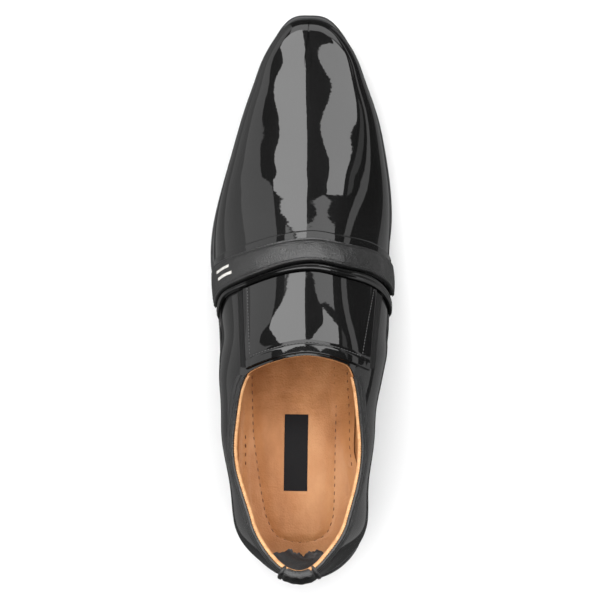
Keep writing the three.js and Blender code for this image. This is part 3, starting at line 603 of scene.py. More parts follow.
def welt_half(walks, hand):
    outer = sole_reach(walks, hand)[:, None] - WELT_INSET
    inner = feather_reach(walks, hand)[:, None] - WALL
    turn = np.radians(np.linspace(-90, 90, 11))
    round_x, round_z = 0.9 * (1 - np.cos(turn)) ** 1.5, (np.sin(turn) + 1) / 2
    low = lambda y: outsole_top(y) + 0.01
    rounded = half_fan(walks, hand, outer - round_x, lambda x, y, reach: mix(low(y), welt_top(y), round_z))
    share = np.linspace(0, 1, 8)
    roof = half_fan(walks, hand, mix(outer - round_x[-1], inner, share), lambda x, y, reach: welt_top(y))
    back = half_fan(walks, hand, inner + 0 * share, lambda x, y, reach: mix(welt_top(y), low(y), share))
    under = half_fan(walks, hand, mix(inner, outer - round_x[0], share), lambda x, y, reach: low(y))
    return [rounded, roof, back, under]


build_piece("welt_band", both_halves(SOLE_WALKS[::2], welt_half), edge_black, "welt_edge", "welt")

# Insole: a board, black where it shows at the heel, under a tan leather sock that is padded inside a
# stitched loop, turned up along its border, and torn off short of the heel. A plain black patch is glued
# on the padding.
INSOLE_THICKNESS = 5.0
INSOLE_RIM = 2.4
INSOLE_RIM_WIDTH = 7.0
INSOLE_GAP = 0.2
SOCK_THICKNESS = 1.0
SOCK_PAD = 0.9
SOCK_BACK = 14.8
SOCK_FLARE = 1.3
LOOP = [(150, -29, 18), (112, -28.4, 17.2), (77, -26.7, 16.6), (51, -22.9, 16.6), (35, -19.8, 16.2),
        (27, -16.5, 14), (23, -13.2, 10.3), (20.6, -7, 5), (20.2, -1, 0)]
tan_leather = new_material("tan_leather", (0.5, 0.22, 0.085), 0.5, specular_ior_level=0.4)
tan_blotches = texture(tan_leather, "Noise", 26, (1, 0.45, 1), detail=5, roughness=0.6)
colour_by(tan_leather, tan_blotches, [
    (0.3, (0.31, 0.12, 0.038)), (0.5, (0.52, 0.235, 0.09)), (0.68, (0.66, 0.34, 0.15)),
])
colour_by(tan_leather, tan_blotches, [(0.3, 0.62), (0.7, 0.42)], "Roughness")
tan_grain = texture(tan_leather, "Voronoi", 1150)
raise_by(tan_leather, tan_grain, 0.14)
tan_waves = texture(tan_leather, "Noise", 75, detail=3)
raise_by(tan_leather, tan_waves, 0.9)
tan_creases = texture(tan_leather, "Noise", 110, (0.3, 1.5, 1), detail=2)
raise_by(tan_leather, tan_creases, 0.5)
inner_black = new_material("inner_black", (0.01, 0.01, 0.011), 0.22, coat_weight=0.6, coat_roughness=0.12)
inner_crumple = texture(inner_black, "Noise", 120, detail=4)
raise_by(inner_black, inner_crumple, 0.8)


def board_top(y):
    return outsole_top(y) + CLEARANCE + INSOLE_THICKNESS


def insole_edge(walk, hand):
    return feather_reach(walk, hand) - WALL - INSOLE_GAP


def inside_loop(x, y):
    """How far inside the sock's stitched loop a place lies."""
    along, left, right = np.array(LOOP[::-1], float).T
    return np.minimum(x - np.interp(y, along, left), np.interp(y, along, right) - x)


PADDING_FROM = 19.0


def sock_height(x, y, inset):
    """The sock's top: padded inside the loop, drawn down by its stitches, and turned up along the border."""
    turned_up = INSOLE_RIM * ease((INSOLE_RIM_WIDTH - inset) / (INSOLE_RIM_WIDTH - 1)) ** 1.4
    inside = inside_loop(x, y)
    padding = SOCK_PAD * ease(inside / 6) * ease((y - PADDING_FROM) / 6)
    stitched_down = 0.35 * bump(inside / 0.9) * ease((y - PADDING_FROM) / 3)
    dents = 0.25 * np.sin(y / 9 + x / 14) * np.sin(x / 8 - y / 23)
    return board_top(y) + turned_up + (padding - stitched_down) + dents * ease(inset / 4)


def board_half(walks, hand):
    edge = insole_edge(walks, hand)[:, None]
    inside = np.linspace(0, 1, 14)
    top = lambda x, y, reach: board_top(y) - SOCK_THICKNESS
    low = lambda x, y, reach: outsole_top(y) + CLEARANCE
    side_height = lambda x, y, reach: mix(top(x, y, 0), low(x, y, 0), inside)
    wall = half_fan(walks, hand, edge + 0 * inside, side_height)
    return [half_fan(walks, hand, edge * inside, top), wall, half_fan(walks, hand, edge * inside[::-1], low)]


def sock_half(walks, hand):
    edge = insole_edge(walks, hand)[:, None]
    behind = -np.cos(turn_of(walks))[:, None]
    torn = 1.3 * np.sin(walks * 70 + 2) + 0.6 * np.sin(walks * 190 + hand) + 0.25 * np.sin(walks * 520)
    torn_at = (HEEL_PIVOT * SOLE_LENGTH - SOCK_BACK - torn[:, None]) / np.maximum(behind, 1e-3)
    outer = np.where(behind > 0, np.minimum(edge, torn_at), edge)
    inside = np.concatenate([np.linspace(0, 0.72, 30), np.linspace(0.74, 1, 22)])
    flared = outer + SOCK_FLARE * (outer == edge)
    top = lambda x, y, reach: sock_height(x, y, edge - reach * edge / (edge + SOCK_FLARE))
    low = lambda x, y, reach: board_top(y) - SOCK_THICKNESS + 0.02
    down = np.linspace(0, 1, 4)
    side_height = lambda x, y, reach: mix(top(x, y, flared), low(x, y, 0), down)
    wall = half_fan(walks, hand, mix(flared, outer, down), side_height)
    face = half_fan(walks, hand, flared * inside, top)
    return [face, wall, half_fan(walks, hand, outer * inside[::-1], low)]


build_piece("insole_board", both_halves(SOLE_WALKS[::3], board_half), inner_black, "tan_leather", "insole")
SOCK_WALKS = np.concatenate([SOLE_WALKS[::3][:-20], np.linspace(heel(0), heel(90), 100)])
sock = build_piece("sock", both_halves(SOCK_WALKS, sock_half), tan_leather, "tan_leather", "insole")


def on_sock(line, lift=0.0):
    x, y = line[:, 0], line[:, 1]
    walk = walk_at(np.clip(y, HEEL_PIVOT * SOLE_LENGTH, None))
    edge = np.where(x < 0, insole_edge(walk, -1), insole_edge(walk, 1))
    x = np.clip(x, -edge + 1.4, edge - 1.4)
    z = sock_height(x, y, np.maximum(edge - np.abs(x), 0)) + lift
    return standing(np.column_stack([x, y, z]), 1.0)


loop_left = [(left, y) for y, left, _ in LOOP]
loop_right = [(right, y) for y, _, right in LOOP]
brown_thread = new_material("brown_thread", (0.17, 0.07, 0.03), 0.6)
thread_twist = texture(brown_thread, "Wave", 2400)
colour_by(brown_thread, thread_twist, [(0, (0.1, 0.038, 0.015)), (1, (0.22, 0.095, 0.04))])
SOCK_STITCH = (2.3, 0.6, 0.35)
SOCK_PITCH = 4.1
sock_loop = dense(loop_left + loop_right[::-1])
outer_line = dense([(-30.6, 75.2), (-30.3, 61.5)])
sock_lines = [on_sock(sock_loop), on_sock(outer_line)]
sew("sock_thread", sock_lines, SOCK_PITCH, SOCK_STITCH, brown_thread, "tan_leather")

PATCH_LOW = (-10.2, 47.2)
PATCH_HIGH = (2.2, 87.4)
patch_black = new_material("patch_black", (0.008, 0.008, 0.009), 0.5, specular_ior_level=0.12)
patch_weave = texture(patch_black, "Noise", 900, detail=2)
raise_by(patch_black, patch_weave, 0.06)
patch_sides = (np.linspace(PATCH_LOW[i], PATCH_HIGH[i], count) for i, count in enumerate((16, 44)))
patch_x, patch_y = np.meshgrid(*patch_sides)


def patch_sheet(lift):
    flat = np.column_stack([patch_x.ravel(), patch_y.ravel()])
    return on_sock(flat, lift)[0].reshape(*patch_x.shape, 3)


def slab(top, bottom):
    """The grids that close a slab, from a grid of points on its top and one on its underside."""
    edges = [
        (top[0], bottom[0]), (bottom[-1], top[-1]), (bottom[:, 0], top[:, 0]), (top[:, -1], bottom[:, -1]),
    ]
    return [top, bottom[::-1], *[np.stack(pair) for pair in edges]]


build_piece("sock_patch", slab(patch_sheet(0.22), patch_sheet(-0.1)), patch_black, "matte_leather")

# Upper, first the lining: tan leather inside the whole shell, a black grip at the heel, and on the inner
# side a turned flange that stands off it. The last's surface, which every piece of the upper follows, is
# made here.
INSTEP_HEIGHT = 90.0
TOE_SLOPE = 0.25
THROAT_PLACE = 0.4013 * SOLE_LENGTH
THROAT_HALF = 0.32 * BALL_WIDTH
THROAT_DEPTH = 9.0
CORNER_SOFTNESS = 0.03
ARC_POWER = 1 / 1.7
# Walk, then the ridge's height as a share of the instep's.
RIDGE = [
    (side(0.9), 0.411), (side(0.84), 0.461), (side(0.76), 0.528), (side(0.68), 0.617), (side(0.61), 0.715),
    (side(0.56), 0.792), (side(0.51), 0.868), (side(0.46), 0.938), (side(0.4), 1), (side(0.28), 1.09),
    (side(0.11), 1.17),
]
TOPLINE = [
    (side(0.42), 0.93), (side(0.36), 0.872), (side(0.3), 0.825), (side(0.23), 0.796), (side(0.17), 0.808),
    (side(0.11), 0.85), (heel(45), 0.905), (heel(90), 0.94),
]
# Walk, then how high the widest point and the shoulder lie, and how far out the shoulder is.
GIRTH = [
    (toe(0), 0.3, 0.76, 0.77), (toe(90), 0.3, 0.77, 0.75), (side(0.76), 0.27, 0.72, 0.72),
    (side(0.66), 0.25, 0.7, 0.68), (side(0.57), 0.25, 0.73, 0.66), (side(0.5), 0.27, 0.76, 0.67),
    (side(0.42), 0.29, 0.79, 0.71), (side(0.36), 0.29, 0.74, 0.8), (side(0.28), 0.27, 0.63, 0.9),
    (side(0.2), 0.25, 0.61, 0.85), (side(0.11), 0.25, 0.7, 0.63), (heel(45), 0.25, 0.74, 0.71),
    (heel(90), 0.25, 0.77, 0.79),
]
KNOTS = (0.0, 0.3, 0.7, 1.0)
NUDGE = 1e-4


def ridge_height(walk):
    straight = np.clip(walk, TOE_ARC, TOE_ARC + STRAIGHT)
    return INSTEP_HEIGHT * column_of(RIDGE, 1, straight, TOE_SLOPE * SOLE_LENGTH / INSTEP_HEIGHT)


def topline_height(walk):
    return INSTEP_HEIGHT * column_of(TOPLINE, 1, walk, None)


def ridge_x(walk):
    return RIDGE_SHIFT * ease((TOE_PIVOT - along_of(walk)) / 0.3) * ease((along_of(walk) - HEEL_PIVOT) / 0.2)


def girth(walk, hand, share):
    """How far out and how high one girth of the last lies, from the feather line at 0 to the ridge at 1."""
    walk, hand, share = np.broadcast_arrays(walk, hand, share)
    walk, hand, share = (np.array(a, float) for a in (walk, hand, share))
    foot, widest = feather_reach(walk, hand), upper_reach(walk, hand)
    low = welt_top(plan_point(walk, hand, foot)[1]) + CLEARANCE
    top = ridge_height(walk)
    reaches = np.stack([foot, widest, widest * column_of(GIRTH, 3, walk), hand * ridge_x(walk)])
    between = [mix(low, top, column_of(GIRTH, i, walk)) for i in (1, 2)]
    heights = np.stack([low, *between, top])
    one = np.ones_like(share)
    at_ridge, before_ridge = (through(KNOTS, reaches, at, None, None) for at in (one, one - NUDGE))
    arrival = (at_ridge - before_ridge) / NUDGE
    crown_slope = np.where(walk < TOE_ARC, -TOE_SLOPE * np.cos(turn_of(walk)) * arrival, 0.0)
    return through(KNOTS, reaches, share, None, None), through(KNOTS, heights, share, None, crown_slope)


def last_point(walk, hand, share):
    reach, height = girth(walk, hand, share)
    x, y = plan_point(walk, hand, reach)
    return np.stack(np.broadcast_arrays(x, y, height), -1)


def normal_at(walk, hand, share):
    walk, hand, share = np.broadcast_arrays(walk, hand, share)
    on_ridge = share > 1 - 1e-9
    place = np.where(on_ridge, np.maximum(walk, TOE_ARC), walk)
    along = last_point(place + NUDGE, hand, share) - last_point(place - NUDGE, hand, share)
    up = last_point(place, hand, share + NUDGE) - last_point(place, hand, share - NUDGE)
    normal = np.cross(along, up) * -hand[..., None]
    flat = on_ridge | (walk < NUDGE) | (walk > WHOLE_WALK - NUDGE)
    normal[..., 0] = np.where(flat, 0.0, normal[..., 0])
    return normal / np.linalg.norm(normal, axis=-1, keepdims=True)


def lifted(walk, hand, share, lift):
    """Points off the last's surface, along its outward normal. At the feather line they stay on the welt."""
    normal = normal_at(walk, hand, share)
    points = last_point(walk, hand, share) + normal * np.asarray(lift)[..., None]
    on_welt = welt_top(points[..., 1]) + CLEARANCE
    points[..., 2] = np.where(np.broadcast_to(share, points.shape[:-1]) < 1e-9, on_welt, points[..., 2])
    return points


def share_where(test, shape):
    low, high = np.full(shape, KNOTS[1]), np.ones(shape)
    for _ in range(30):
        middle = (low + high) / 2
        below = test(middle)
        low, high = np.where(below, middle, low), np.where(below, high, middle)
    return high


THROAT_WALK = walk_at(THROAT_PLACE)


def cut_share(walk, hand):
    """Where the opening cuts each girth: along the topline at the sides, and in an arc across the throat."""
    walk, hand = np.broadcast_arrays(np.asarray(walk, float), hand)
    behind = np.maximum(walk - THROAT_WALK, 0) * SOLE_LENGTH
    arc = THROAT_HALF * (behind / THROAT_DEPTH) ** ARC_POWER
    by_height = share_where(lambda share: girth(walk, hand, share)[1] < topline_height(walk), walk.shape)
    by_arc = share_where(lambda share: girth(walk, hand, share)[0] - hand * ridge_x(walk) > arc, walk.shape)
    soft = (by_height + by_arc + np.sqrt((by_height - by_arc) ** 2 + CORNER_SOFTNESS**2)) / 2
    return np.where(walk <= THROAT_WALK + 1e-9, 1.0, np.minimum(0.9999, soft))


UPPER_WALKS = np.concatenate([
    np.linspace(toe(0), toe(90), 70)[:-1],
    np.linspace(side(TOE_PIVOT), THROAT_WALK, 120)[:-1],
    THROAT_WALK + np.linspace(0, 1, 46)[:-1] ** 1.7 * 20 / SOLE_LENGTH,
    np.linspace(THROAT_WALK + 20 / SOLE_LENGTH, side(HEEL_PIVOT), 60)[:-1],
    np.linspace(heel(0), heel(90), 70),
])

PIVOT_BLEND = 5.0
PIVOT_REACH = 22.0


def blended_at_pivot(walks, share, grid):
    """Evens out, along the walk, the small change of bend where the toe's fan meets the straight girths."""
    near = np.abs(walks - TOE_ARC) * SOLE_LENGTH < 4 * PIVOT_REACH
    points = grid[near]
    steps = np.linalg.norm(np.diff(points, axis=0), axis=-1)
    length = np.concatenate([0 * steps[:1], np.cumsum(steps, 0)])
    weight = (np.concatenate([steps, 0 * steps[:1]]) + np.concatenate([0 * steps[:1], steps])) / 2 + 1e-6
    pivot = length[np.argmin(np.abs(walks[near] - TOE_ARC))]
    window = bump((length - pivot) / PIVOT_REACH) * ease(share[near] * 4)
    for column in range(points.shape[1]):
        apart = length[:, None, column] - length[None, :, column]
        kernel = bump(apart / PIVOT_BLEND) * weight[None, :, column]
        evened = kernel @ points[:, column] / kernel.sum(1, keepdims=True)
        points[:, column] = mix(points[:, column], evened, window[:, column, None])
    blended = grid.copy()
    blended[near] = points
    return blended


def shell(walks, lowest, highest, outside, inside, rows):
    """Both sides of a shell over the last, between two shares of each girth and between two lifts from it.

    The sides join along the ridge, at the toe and at the back, so that only its free edges get a wall.
    """
    grids = []
    ends = [end for end, free in ((0, walks[0] > NUDGE), (-1, walks[-1] < WHOLE_WALK - NUDGE)) if free]
    for hand in (1, -1):
        hands = np.full(len(walks), hand)
        low, high = lowest(walks, hands)[:, None], highest(walks, hands)[:, None]
        share = mix(low, high, rows[None])
        walk, hand_grid = walks[:, None] + 0 * share, hands[:, None] + 0 * share
        out = lifted(walk, hand_grid, share, outside(walk, hand_grid, share))
        inner = lifted(walk, hand_grid, share, inside(walk, hand_grid, share))
        if walks[0] < NUDGE:
            out = blended_at_pivot(walks, share, out)
        rim = slice(max(int(np.argmax(high[:, 0] < 1 - 1e-9)) - 1, 0), None)
        walls = [np.stack([out[rim, -1], inner[rim, -1]], 1), np.stack([inner[:, 0], out[:, 0]], 1)]
        for part in (out, inner[:, ::-1], *walls):
            grids.append(part if hand > 0 else part[::-1])
        grids += [np.stack([out[end], inner[end]]) for end in ends]
    return grids


LINING_THICKNESS = 0.95
constant = lambda lift: lambda walk, hand, share: lift + 0 * share
floor_share = lambda walk, hand: 0 * walk
build_piece("lining", shell(
    UPPER_WALKS[::2], floor_share, cut_share, constant(LINING_THICKNESS - WALL),
    lambda walk, hand, share: -WALL + 0.12 * np.sin(walk * 60) * np.sin(share * 9), np.linspace(0, 1, 56),
), tan_leather, "tan_leather", "upper")

GRIP_WALKS = np.linspace(heel(50), heel(90), 40)
grip_ragged = lambda walk, hand: 0.02 + 0.01 * np.sin(walk * 900)
build_piece("heel_grip", shell(
    GRIP_WALKS, grip_ragged, lambda walk, hand: cut_share(walk, hand) - 0.13, constant(-WALL - 0.05),
    lambda walk, hand, share: -WALL - 0.45 - 0.15 * np.sin(walk * 300), np.linspace(0, 1, 30),
), inner_black, "matte_leather")

# Flange: on the inner side the sock's edge is turned up on a strip of lining and stitched to it. The
# strip's free edge stands just inside the rim, with a dark slit behind it.
FLANGE_FROM = 127.0
FLANGE_TO = 60.0
FLANGE_EDGE = 26.2
FLANGE_LAP = 3.0
FLANGE_STAND = 3.2


def share_at_reach(walk, hand, reach):
    """The share, below the widest point, where a girth has spread as far as a reach from the shoe's axis."""
    low, high = np.zeros_like(walk), np.full_like(walk, KNOTS[1])
    for _ in range(24):
        middle = (low + high) / 2
        short = girth(walk, hand, middle)[0] < reach
        low, high = np.where(short, middle, low), np.where(short, high, middle)
    return high


def on_flange(y, t, drop=0.0):
    """Points on the strip's face, from its lap on the sock at t = 0 to its free edge at t = 1."""
    y, t = np.broadcast_arrays(y, t)
    walk, inner = walk_at(y), np.ones(y.shape)
    closed = 1 - ease((FLANGE_FROM - y) / 7) * ease((y - FLANGE_TO) / 10)
    start = insole_edge(walk, inner) - FLANGE_LAP
    edge = FLANGE_EDGE + 0.6 * (FLANGE_FROM - y) / 60 + 1.6 * closed
    wall = last_point(walk, inner, share_at_reach(walk, inner, edge + WALL))[..., 2]
    low = sock_height(start, y, FLANGE_LAP) + 0.1
    high = np.maximum(wall, low) + FLANGE_STAND * (1 - 0.7 * closed)
    x = mix(start, edge, t) + 0.25 * np.sin(y / 6.3) * t
    return np.stack([x, y + 0 * x, mix(low, high, t**1.3) - drop + 0.12 * np.sin(y / 4.1 + 2 * t)], -1)


flange_y = np.linspace(FLANGE_FROM, FLANGE_TO, 90)[:, None]
flange_across = np.linspace(0, 1, 16)[None]
flange_grids = slab(on_flange(flange_y, flange_across), on_flange(flange_y, flange_across, 0.9))
build_piece("lining_flange", flange_grids, tan_leather, "tan_leather")
FLANGE_LINE = (22.3, 24.6)
flange_line_y = np.linspace(113, 62, 100)
flange_line_x = np.linspace(*FLANGE_LINE, 100)
line_start = insole_edge(walk_at(flange_line_y), np.ones(100)) - FLANGE_LAP
line_share = (flange_line_x - line_start) / (FLANGE_EDGE - line_start)
flange_path = standing(on_flange(flange_line_y, line_share), 1.0)
sew("flange_thread", [flange_path], SOCK_PITCH, SOCK_STITCH, brown_thread, "tan_leather")

# Quarters: black patent leather on a cloth backing, one each side, joined by a seam down the back. They
# carry the opening, and the vamp and the instep panel are stitched over their front.
patent = new_material("patent_leather", (0.003, 0.003, 0.003), 0.4, specular_ior_level=0.06, coat_weight=1.0,
                      coat_roughness=0.03, coat_ior=1.6)
patent_depths = texture(patent, "Noise", 34, detail=4)
colour_by(patent, patent_depths, [(0.35, (0.002, 0.002, 0.002)), (0.75, (0.004, 0.004, 0.004))])
patent_film = texture(patent, "Noise", 62, detail=1.5)
patent_pebble = texture(patent, "Noise", 330, detail=2)
raise_by(patent, patent_film, 0.045, ("Normal", "Coat Normal"))
raise_by(patent, patent_pebble, 0.012, ("Normal", "Coat Normal"))

QUARTER_FRONT = 174.0
VAMP_THICKNESS = 0.7
BACK_SEAM = 0.3
COUNTER_BULGE = 1.7


def troughs(rows, along, across):
    """Soft troughs and ridges: each row has its middle, its half sizes, its height and its sweep."""
    total = 0.0
    for y, x, half_y, half_x, height, sweep in rows:
        middle = y + sweep * np.square(across - x) / half_x
        total = total + height * bump((along - middle) / half_y) * bump((across - x) / half_x)
    return total


# Along the shoe and height up its side, then half sizes, height and sweep, all in millimetres.
QUARTER_FOLDS = {
    -1: [(128, 44, 5, 14, -0.5, -0.1), (118, 46, 5, 12, 0.25, -0.1), (96, 58, 9, 12, -0.4, 0.1),
         (60, 62, 11, 12, -0.45, 0.1), (38, 56, 9, 14, 0.25, 0.1)],
    1: [(130, 42, 5, 14, -0.45, -0.1), (119, 45, 5, 12, 0.25, -0.1), (92, 56, 10, 12, -0.4, 0.1),
        (56, 60, 12, 12, -0.4, -0.1), (36, 54, 9, 14, 0.25, 0.1)],
}


def quarter_skin(walk, hand, share):
    place = last_point(walk, hand, share)
    folds = troughs(QUARTER_FOLDS[int(hand.flat[0])], place[..., 1], place[..., 2])
    seam = BACK_SEAM * bump((WHOLE_WALK - walk) * SOLE_LENGTH / 0.7)
    in_counter = ease((walk - side(0.16)) / (side(0.06) - side(0.16)))
    counter = COUNTER_BULGE * in_counter * bump((share - 0.16) / 0.22)
    return folds * ease(share * 8) + counter * ease(share * 12) - seam


quarter_walks = np.concatenate([[walk_at(QUARTER_FRONT)], UPPER_WALKS[UPPER_WALKS > walk_at(QUARTER_FRONT)]])
build_piece("quarters", shell(
    quarter_walks, floor_share, cut_share, quarter_skin, constant(LINING_THICKNESS - WALL + 0.02),
    np.linspace(0, 1, 78),
), patent, "patent_leather", "upper")

# Vamp: one piece of patent leather from the toe to the strap, whose wings run back along both sides, over
# the quarters, and down to the sole. It is lasted over the toe and top-stitched along its wings.
STRAP_PLACE = 0.597 * SOLE_LENGTH
STRAP_SWEEP = 15.0
STRAP_WIDTH = 12.0
# Share of the girth round from the ridge, trail, width, how wide the piping is behind, and how full both
# are.
STRAP = [(-0.63, 1, 1.7, 1.9, 0.4), (-0.45, 0.75, 1.33, 0.9, 0.75), (-0.3, 0.52, 1.24, 0.9, 1),
         (-0.17, 0.25, 1.14, 1, 1), (0, 0, 1, 1.35, 1), (0.17, 0.13, 1.02, 1.5, 1), (0.3, 0.25, 1.04, 1.7, 1),
         (0.45, 0.44, 1.1, 2.1, 0.75), (0.68, 0.88, 1.26, 3.5, 0.4)]
WING = [(side(0.54), 0.34), (side(0.45), 0.33), (side(0.375), 0.3), (side(0.33), 0.26), (side(0.295), 0.19),
        (side(0.262), 0.1), (side(0.24), 0.02)]


def strap_table(column):
    return lambda around: column_of(STRAP, column, around, None, None)


strap_trail, strap_widen, piping_follow, strap_full = (strap_table(column) for column in (1, 2, 3, 4))


def strap_front(around):
    return STRAP_PLACE - STRAP_SWEEP * strap_trail(around)


def strap_rear(around):
    return strap_front(around) - STRAP_WIDTH * strap_widen(around)


def wing_edge(walk):
    return column_of(WING, 1, np.clip(walk, WING[0][0], WING[-1][0]), 0.0, None)


def vamp_top(walk, hand):
    """The vamp's rear edge: over the ridge up to the strap's middle, then under the strap to the wing."""
    y = SOLE_LENGTH * (TOE_ARC + TOE_PIVOT - walk)
    around = np.linspace(0, STRAP[0][0] if hand[0] < 0 else STRAP[-1][0], 60)
    middles = np.minimum.accumulate((strap_front(around) + strap_rear(around)) / 2)
    shares = 1 - np.abs(around)
    shares[-1] = wing_edge(walk_at(middles[-1]))
    under_strap = np.interp(y, middles[::-1], shares[::-1])
    return np.where(y >= middles[0], 1.0, np.where(y > middles[-1], under_strap, wing_edge(walk)))


# Along the shoe and out from its axis, then half sizes, height and sweep.
VAMP_FOLDS = [(203, 3, 5, 26, -0.16, 0.12), (211, 5, 5, 24, 0.08, 0.12), (212, -22, 6, 12, -0.22, -0.3),
              (216, 28, 6, 12, -0.2, 0.3), (228, -8, 9, 16, -0.08, 0.2), (243, 10, 12, 18, 0.08, 0.1)]
EDGE_ROLL = 0.55


def vamp_skin(walk, hand, share):
    place = last_point(walk, hand, share)
    folds = troughs(VAMP_FOLDS, place[..., 1], place[..., 0]) * ease(share * 6)
    top = vamp_top(walk[:, 0], hand[:, 0])[:, None]
    step = 0.02
    span = np.linalg.norm(last_point(walk, hand, top) - last_point(walk, hand, top - step), axis=-1) / step
    from_edge = np.where(top < 1 - 1e-6, (top - share) * span, EDGE_ROLL)
    rolled = 1 - (1 - np.clip(from_edge / EDGE_ROLL, 0, 1)) ** 2
    stitched = 0.12 * bump((from_edge - 2.0) / 0.4) * (top < 1 - 1e-6)
    return VAMP_THICKNESS * (0.25 + 0.75 * rolled) + folds - stitched


def vamp_inside(walk, hand, share):
    y = SOLE_LENGTH * (TOE_ARC + TOE_PIVOT - walk)
    ahead = ease((y - QUARTER_FRONT) / 4)
    return mix(0.02, LINING_THICKNESS - WALL + 0.02, ahead) + 0 * share


vamp_walks = UPPER_WALKS[UPPER_WALKS < walk_at(QUARTER_FRONT)]
vamp_walks = np.concatenate([vamp_walks, np.linspace(walk_at(QUARTER_FRONT), side(0.24), 120)])
vamp_rows = np.concatenate([np.linspace(0, 0.965, 66)[:-1], 0.965 + 0.035 * np.linspace(0, 1, 12)])
vamp_grids = shell(vamp_walks, floor_share, vamp_top, vamp_skin, vamp_inside, vamp_rows)
build_piece("vamp", vamp_grids, patent, "patent_leather", "upper")

black_thread = new_material("black_thread", (0.04, 0.04, 0.04), 0.4, coat_weight=0.5, coat_roughness=0.25)
black_twist = texture(black_thread, "Wave", 2400)
colour_by(black_thread, black_twist, [(0, (0.02, 0.02, 0.02)), (1, (0.08, 0.08, 0.08))])
LEATHER_STITCH = (1.25, 0.42, 0.3)
LEATHER_PITCH = 1.75
WING_START = walk_at(146)
WING_END = side(0.2475)


def along_wing(hand, inset):
    walk = np.linspace(WING_START, WING_END, 260)
    hands = np.full(260, hand)
    edge, step = wing_edge(walk), 0.02
    strip = last_point(walk, hands, edge) - last_point(walk, hands, edge - step)
    span = np.linalg.norm(strip, axis=-1) / step
    share = np.maximum(edge - inset / span, 0.004)
    return lifted(walk, hands, share, VAMP_THICKNESS), normal_at(walk, hands, share)


wing_lines = [along_wing(hand, 2.0) for hand in (-1, 1)]
sew("wing_thread", wing_lines, LEATHER_PITCH, LEATHER_STITCH, black_thread, "patent_leather")

# Strap underlay: a strip of patent leather sewn across the instep under the strap, in front of which it
# shows.
OVER_UPPER = VAMP_THICKNESS + CLEARANCE
UNDERLAY_SHOW = 5.0
UNDERLAY_THICKNESS = 0.8
OVER_UNDERLAY = OVER_UPPER + UNDERLAY_THICKNESS + CLEARANCE
SPAN = np.linspace(STRAP[0][0], STRAP[-1][0], 260)


def on_girth(y, around, lift):
    y, around = np.broadcast_arrays(y, around)
    hand = np.where(around < 0, -1.0, 1.0)
    return lifted(walk_at(y), hand, 1 - np.abs(around), lift)


def across_instep(front, rear, shares, lift):
    around, t = SPAN[:, None], np.asarray(shares)[None]
    return on_girth(mix(front(around), rear(around), t), around + 0 * t, lift(t, around))


def laid_slab(front, rear, shares, low, high):
    return slab(across_instep(front, rear, shares, high), across_instep(front, rear, shares, low))


def close_at_edges(edge, fine, coarse):
    """Shares across a strip, close together near both its edges."""
    middle = np.linspace(edge, 1 - edge, coarse)
    return np.concatenate([np.linspace(0, edge, fine)[:-1], middle[:-1], np.linspace(1 - edge, 1, fine)])


def rounded_ends(around):
    return ease((around - STRAP[0][0]) / 0.012) * ease((STRAP[-1][0] - around) / 0.012)


build_piece("strap_underlay_patent", laid_slab(
    lambda around: strap_front(around) + UNDERLAY_SHOW, lambda around: strap_rear(around) + 0.5,
    close_at_edges(0.12, 9, 16),
    lambda t, around: 0 * t + VAMP_THICKNESS * 0.6 + 0 * around,
    lambda t, around: OVER_UPPER + UNDERLAY_THICKNESS * (1 - (1 - np.clip(t / 0.05, 0, 1)) ** 2) + 0 * around,
), patent, "patent_leather", "strap_underlay")

# Saddle strap: fine-grained matte leather turned in over a soft filler, so that it is puffed up between
# its two edges. It is sewn down at its ends, the outer one under a band of zigzag stitches.
STRAP_EDGE = 1.3
STRAP_CROWN = 1.9
BEAD = 0.28
matte_leather = new_material("matte_leather", (0.006, 0.006, 0.0063), 0.3, specular_ior_level=1.0)
leather_shade = texture(matte_leather, "Noise", 90, detail=4)
colour_by(matte_leather, leather_shade, [(0.35, (0.003, 0.003, 0.003)), (0.7, (0.008, 0.008, 0.008))])
colour_by(matte_leather, leather_shade, [(0.3, 0.36), (0.7, 0.27)], "Roughness")
leather_grain = texture(matte_leather, "Voronoi", 1700)
raise_by(matte_leather, leather_grain, 0.17)
leather_lumps = texture(matte_leather, "Noise", 380, detail=3)
raise_by(matte_leather, leather_lumps, 0.22)


def strap_skin(t, around):
    puffed = np.sqrt(np.maximum(0, 1 - (2 * t - 1) ** 2))
    edges = np.minimum(t, 1 - t)
    bead = BEAD * (bump((edges - 0.035) / 0.022) - 0.9 * bump((edges - 0.095) / 0.028))
    slack = 0.12 * np.sin(around * 34 + 3 * t) * puffed + 0.07 * np.sin(around * 71 - 5 * t) * puffed
    height = STRAP_EDGE * np.clip(edges / 0.02, 0.45, 1) + STRAP_CROWN * puffed + bead + slack
    return OVER_UNDERLAY + strap_full(around) * height * (0.35 + 0.65 * rounded_ends(around))


strap = build_piece("saddle_strap_leather", laid_slab(
    strap_front, strap_rear, close_at_edges(0.14, 13, 22),
    lambda t, around: OVER_UNDERLAY - 0.25 + 0 * t * around, strap_skin,
), matte_leather, "matte_leather", "saddle_strap")


def across_strap(around, inset, count=60):
    """A line across the strap at a share of the girth, on its skin."""
    t = np.linspace(inset, 1 - inset, count)
    y = mix(strap_front(around), strap_rear(around), t)
    lift = strap_skin(t, np.full(count, around))
    hand = np.full(count, math.copysign(1, around))
    share = np.full(count, 1 - abs(around))
    return lifted(walk_at(y), hand, share, lift), normal_at(walk_at(y), hand, share)


def zigzag(around, amplitude, teeth):
    line, ups = [], []
    for i in range(teeth + 1):
        place = around + (amplitude if i % 2 else -amplitude)
        points, up = across_strap(place, 0.06, teeth + 1)
        line.append(points[i])
        ups.append(up[i])
    line, ups = np.array(line), np.array(ups)
    fine = np.linspace(0, teeth, teeth * 6 + 1)
    return tuple(np.stack([np.interp(fine, np.arange(teeth + 1), c) for c in a.T], -1) for a in (line, ups))


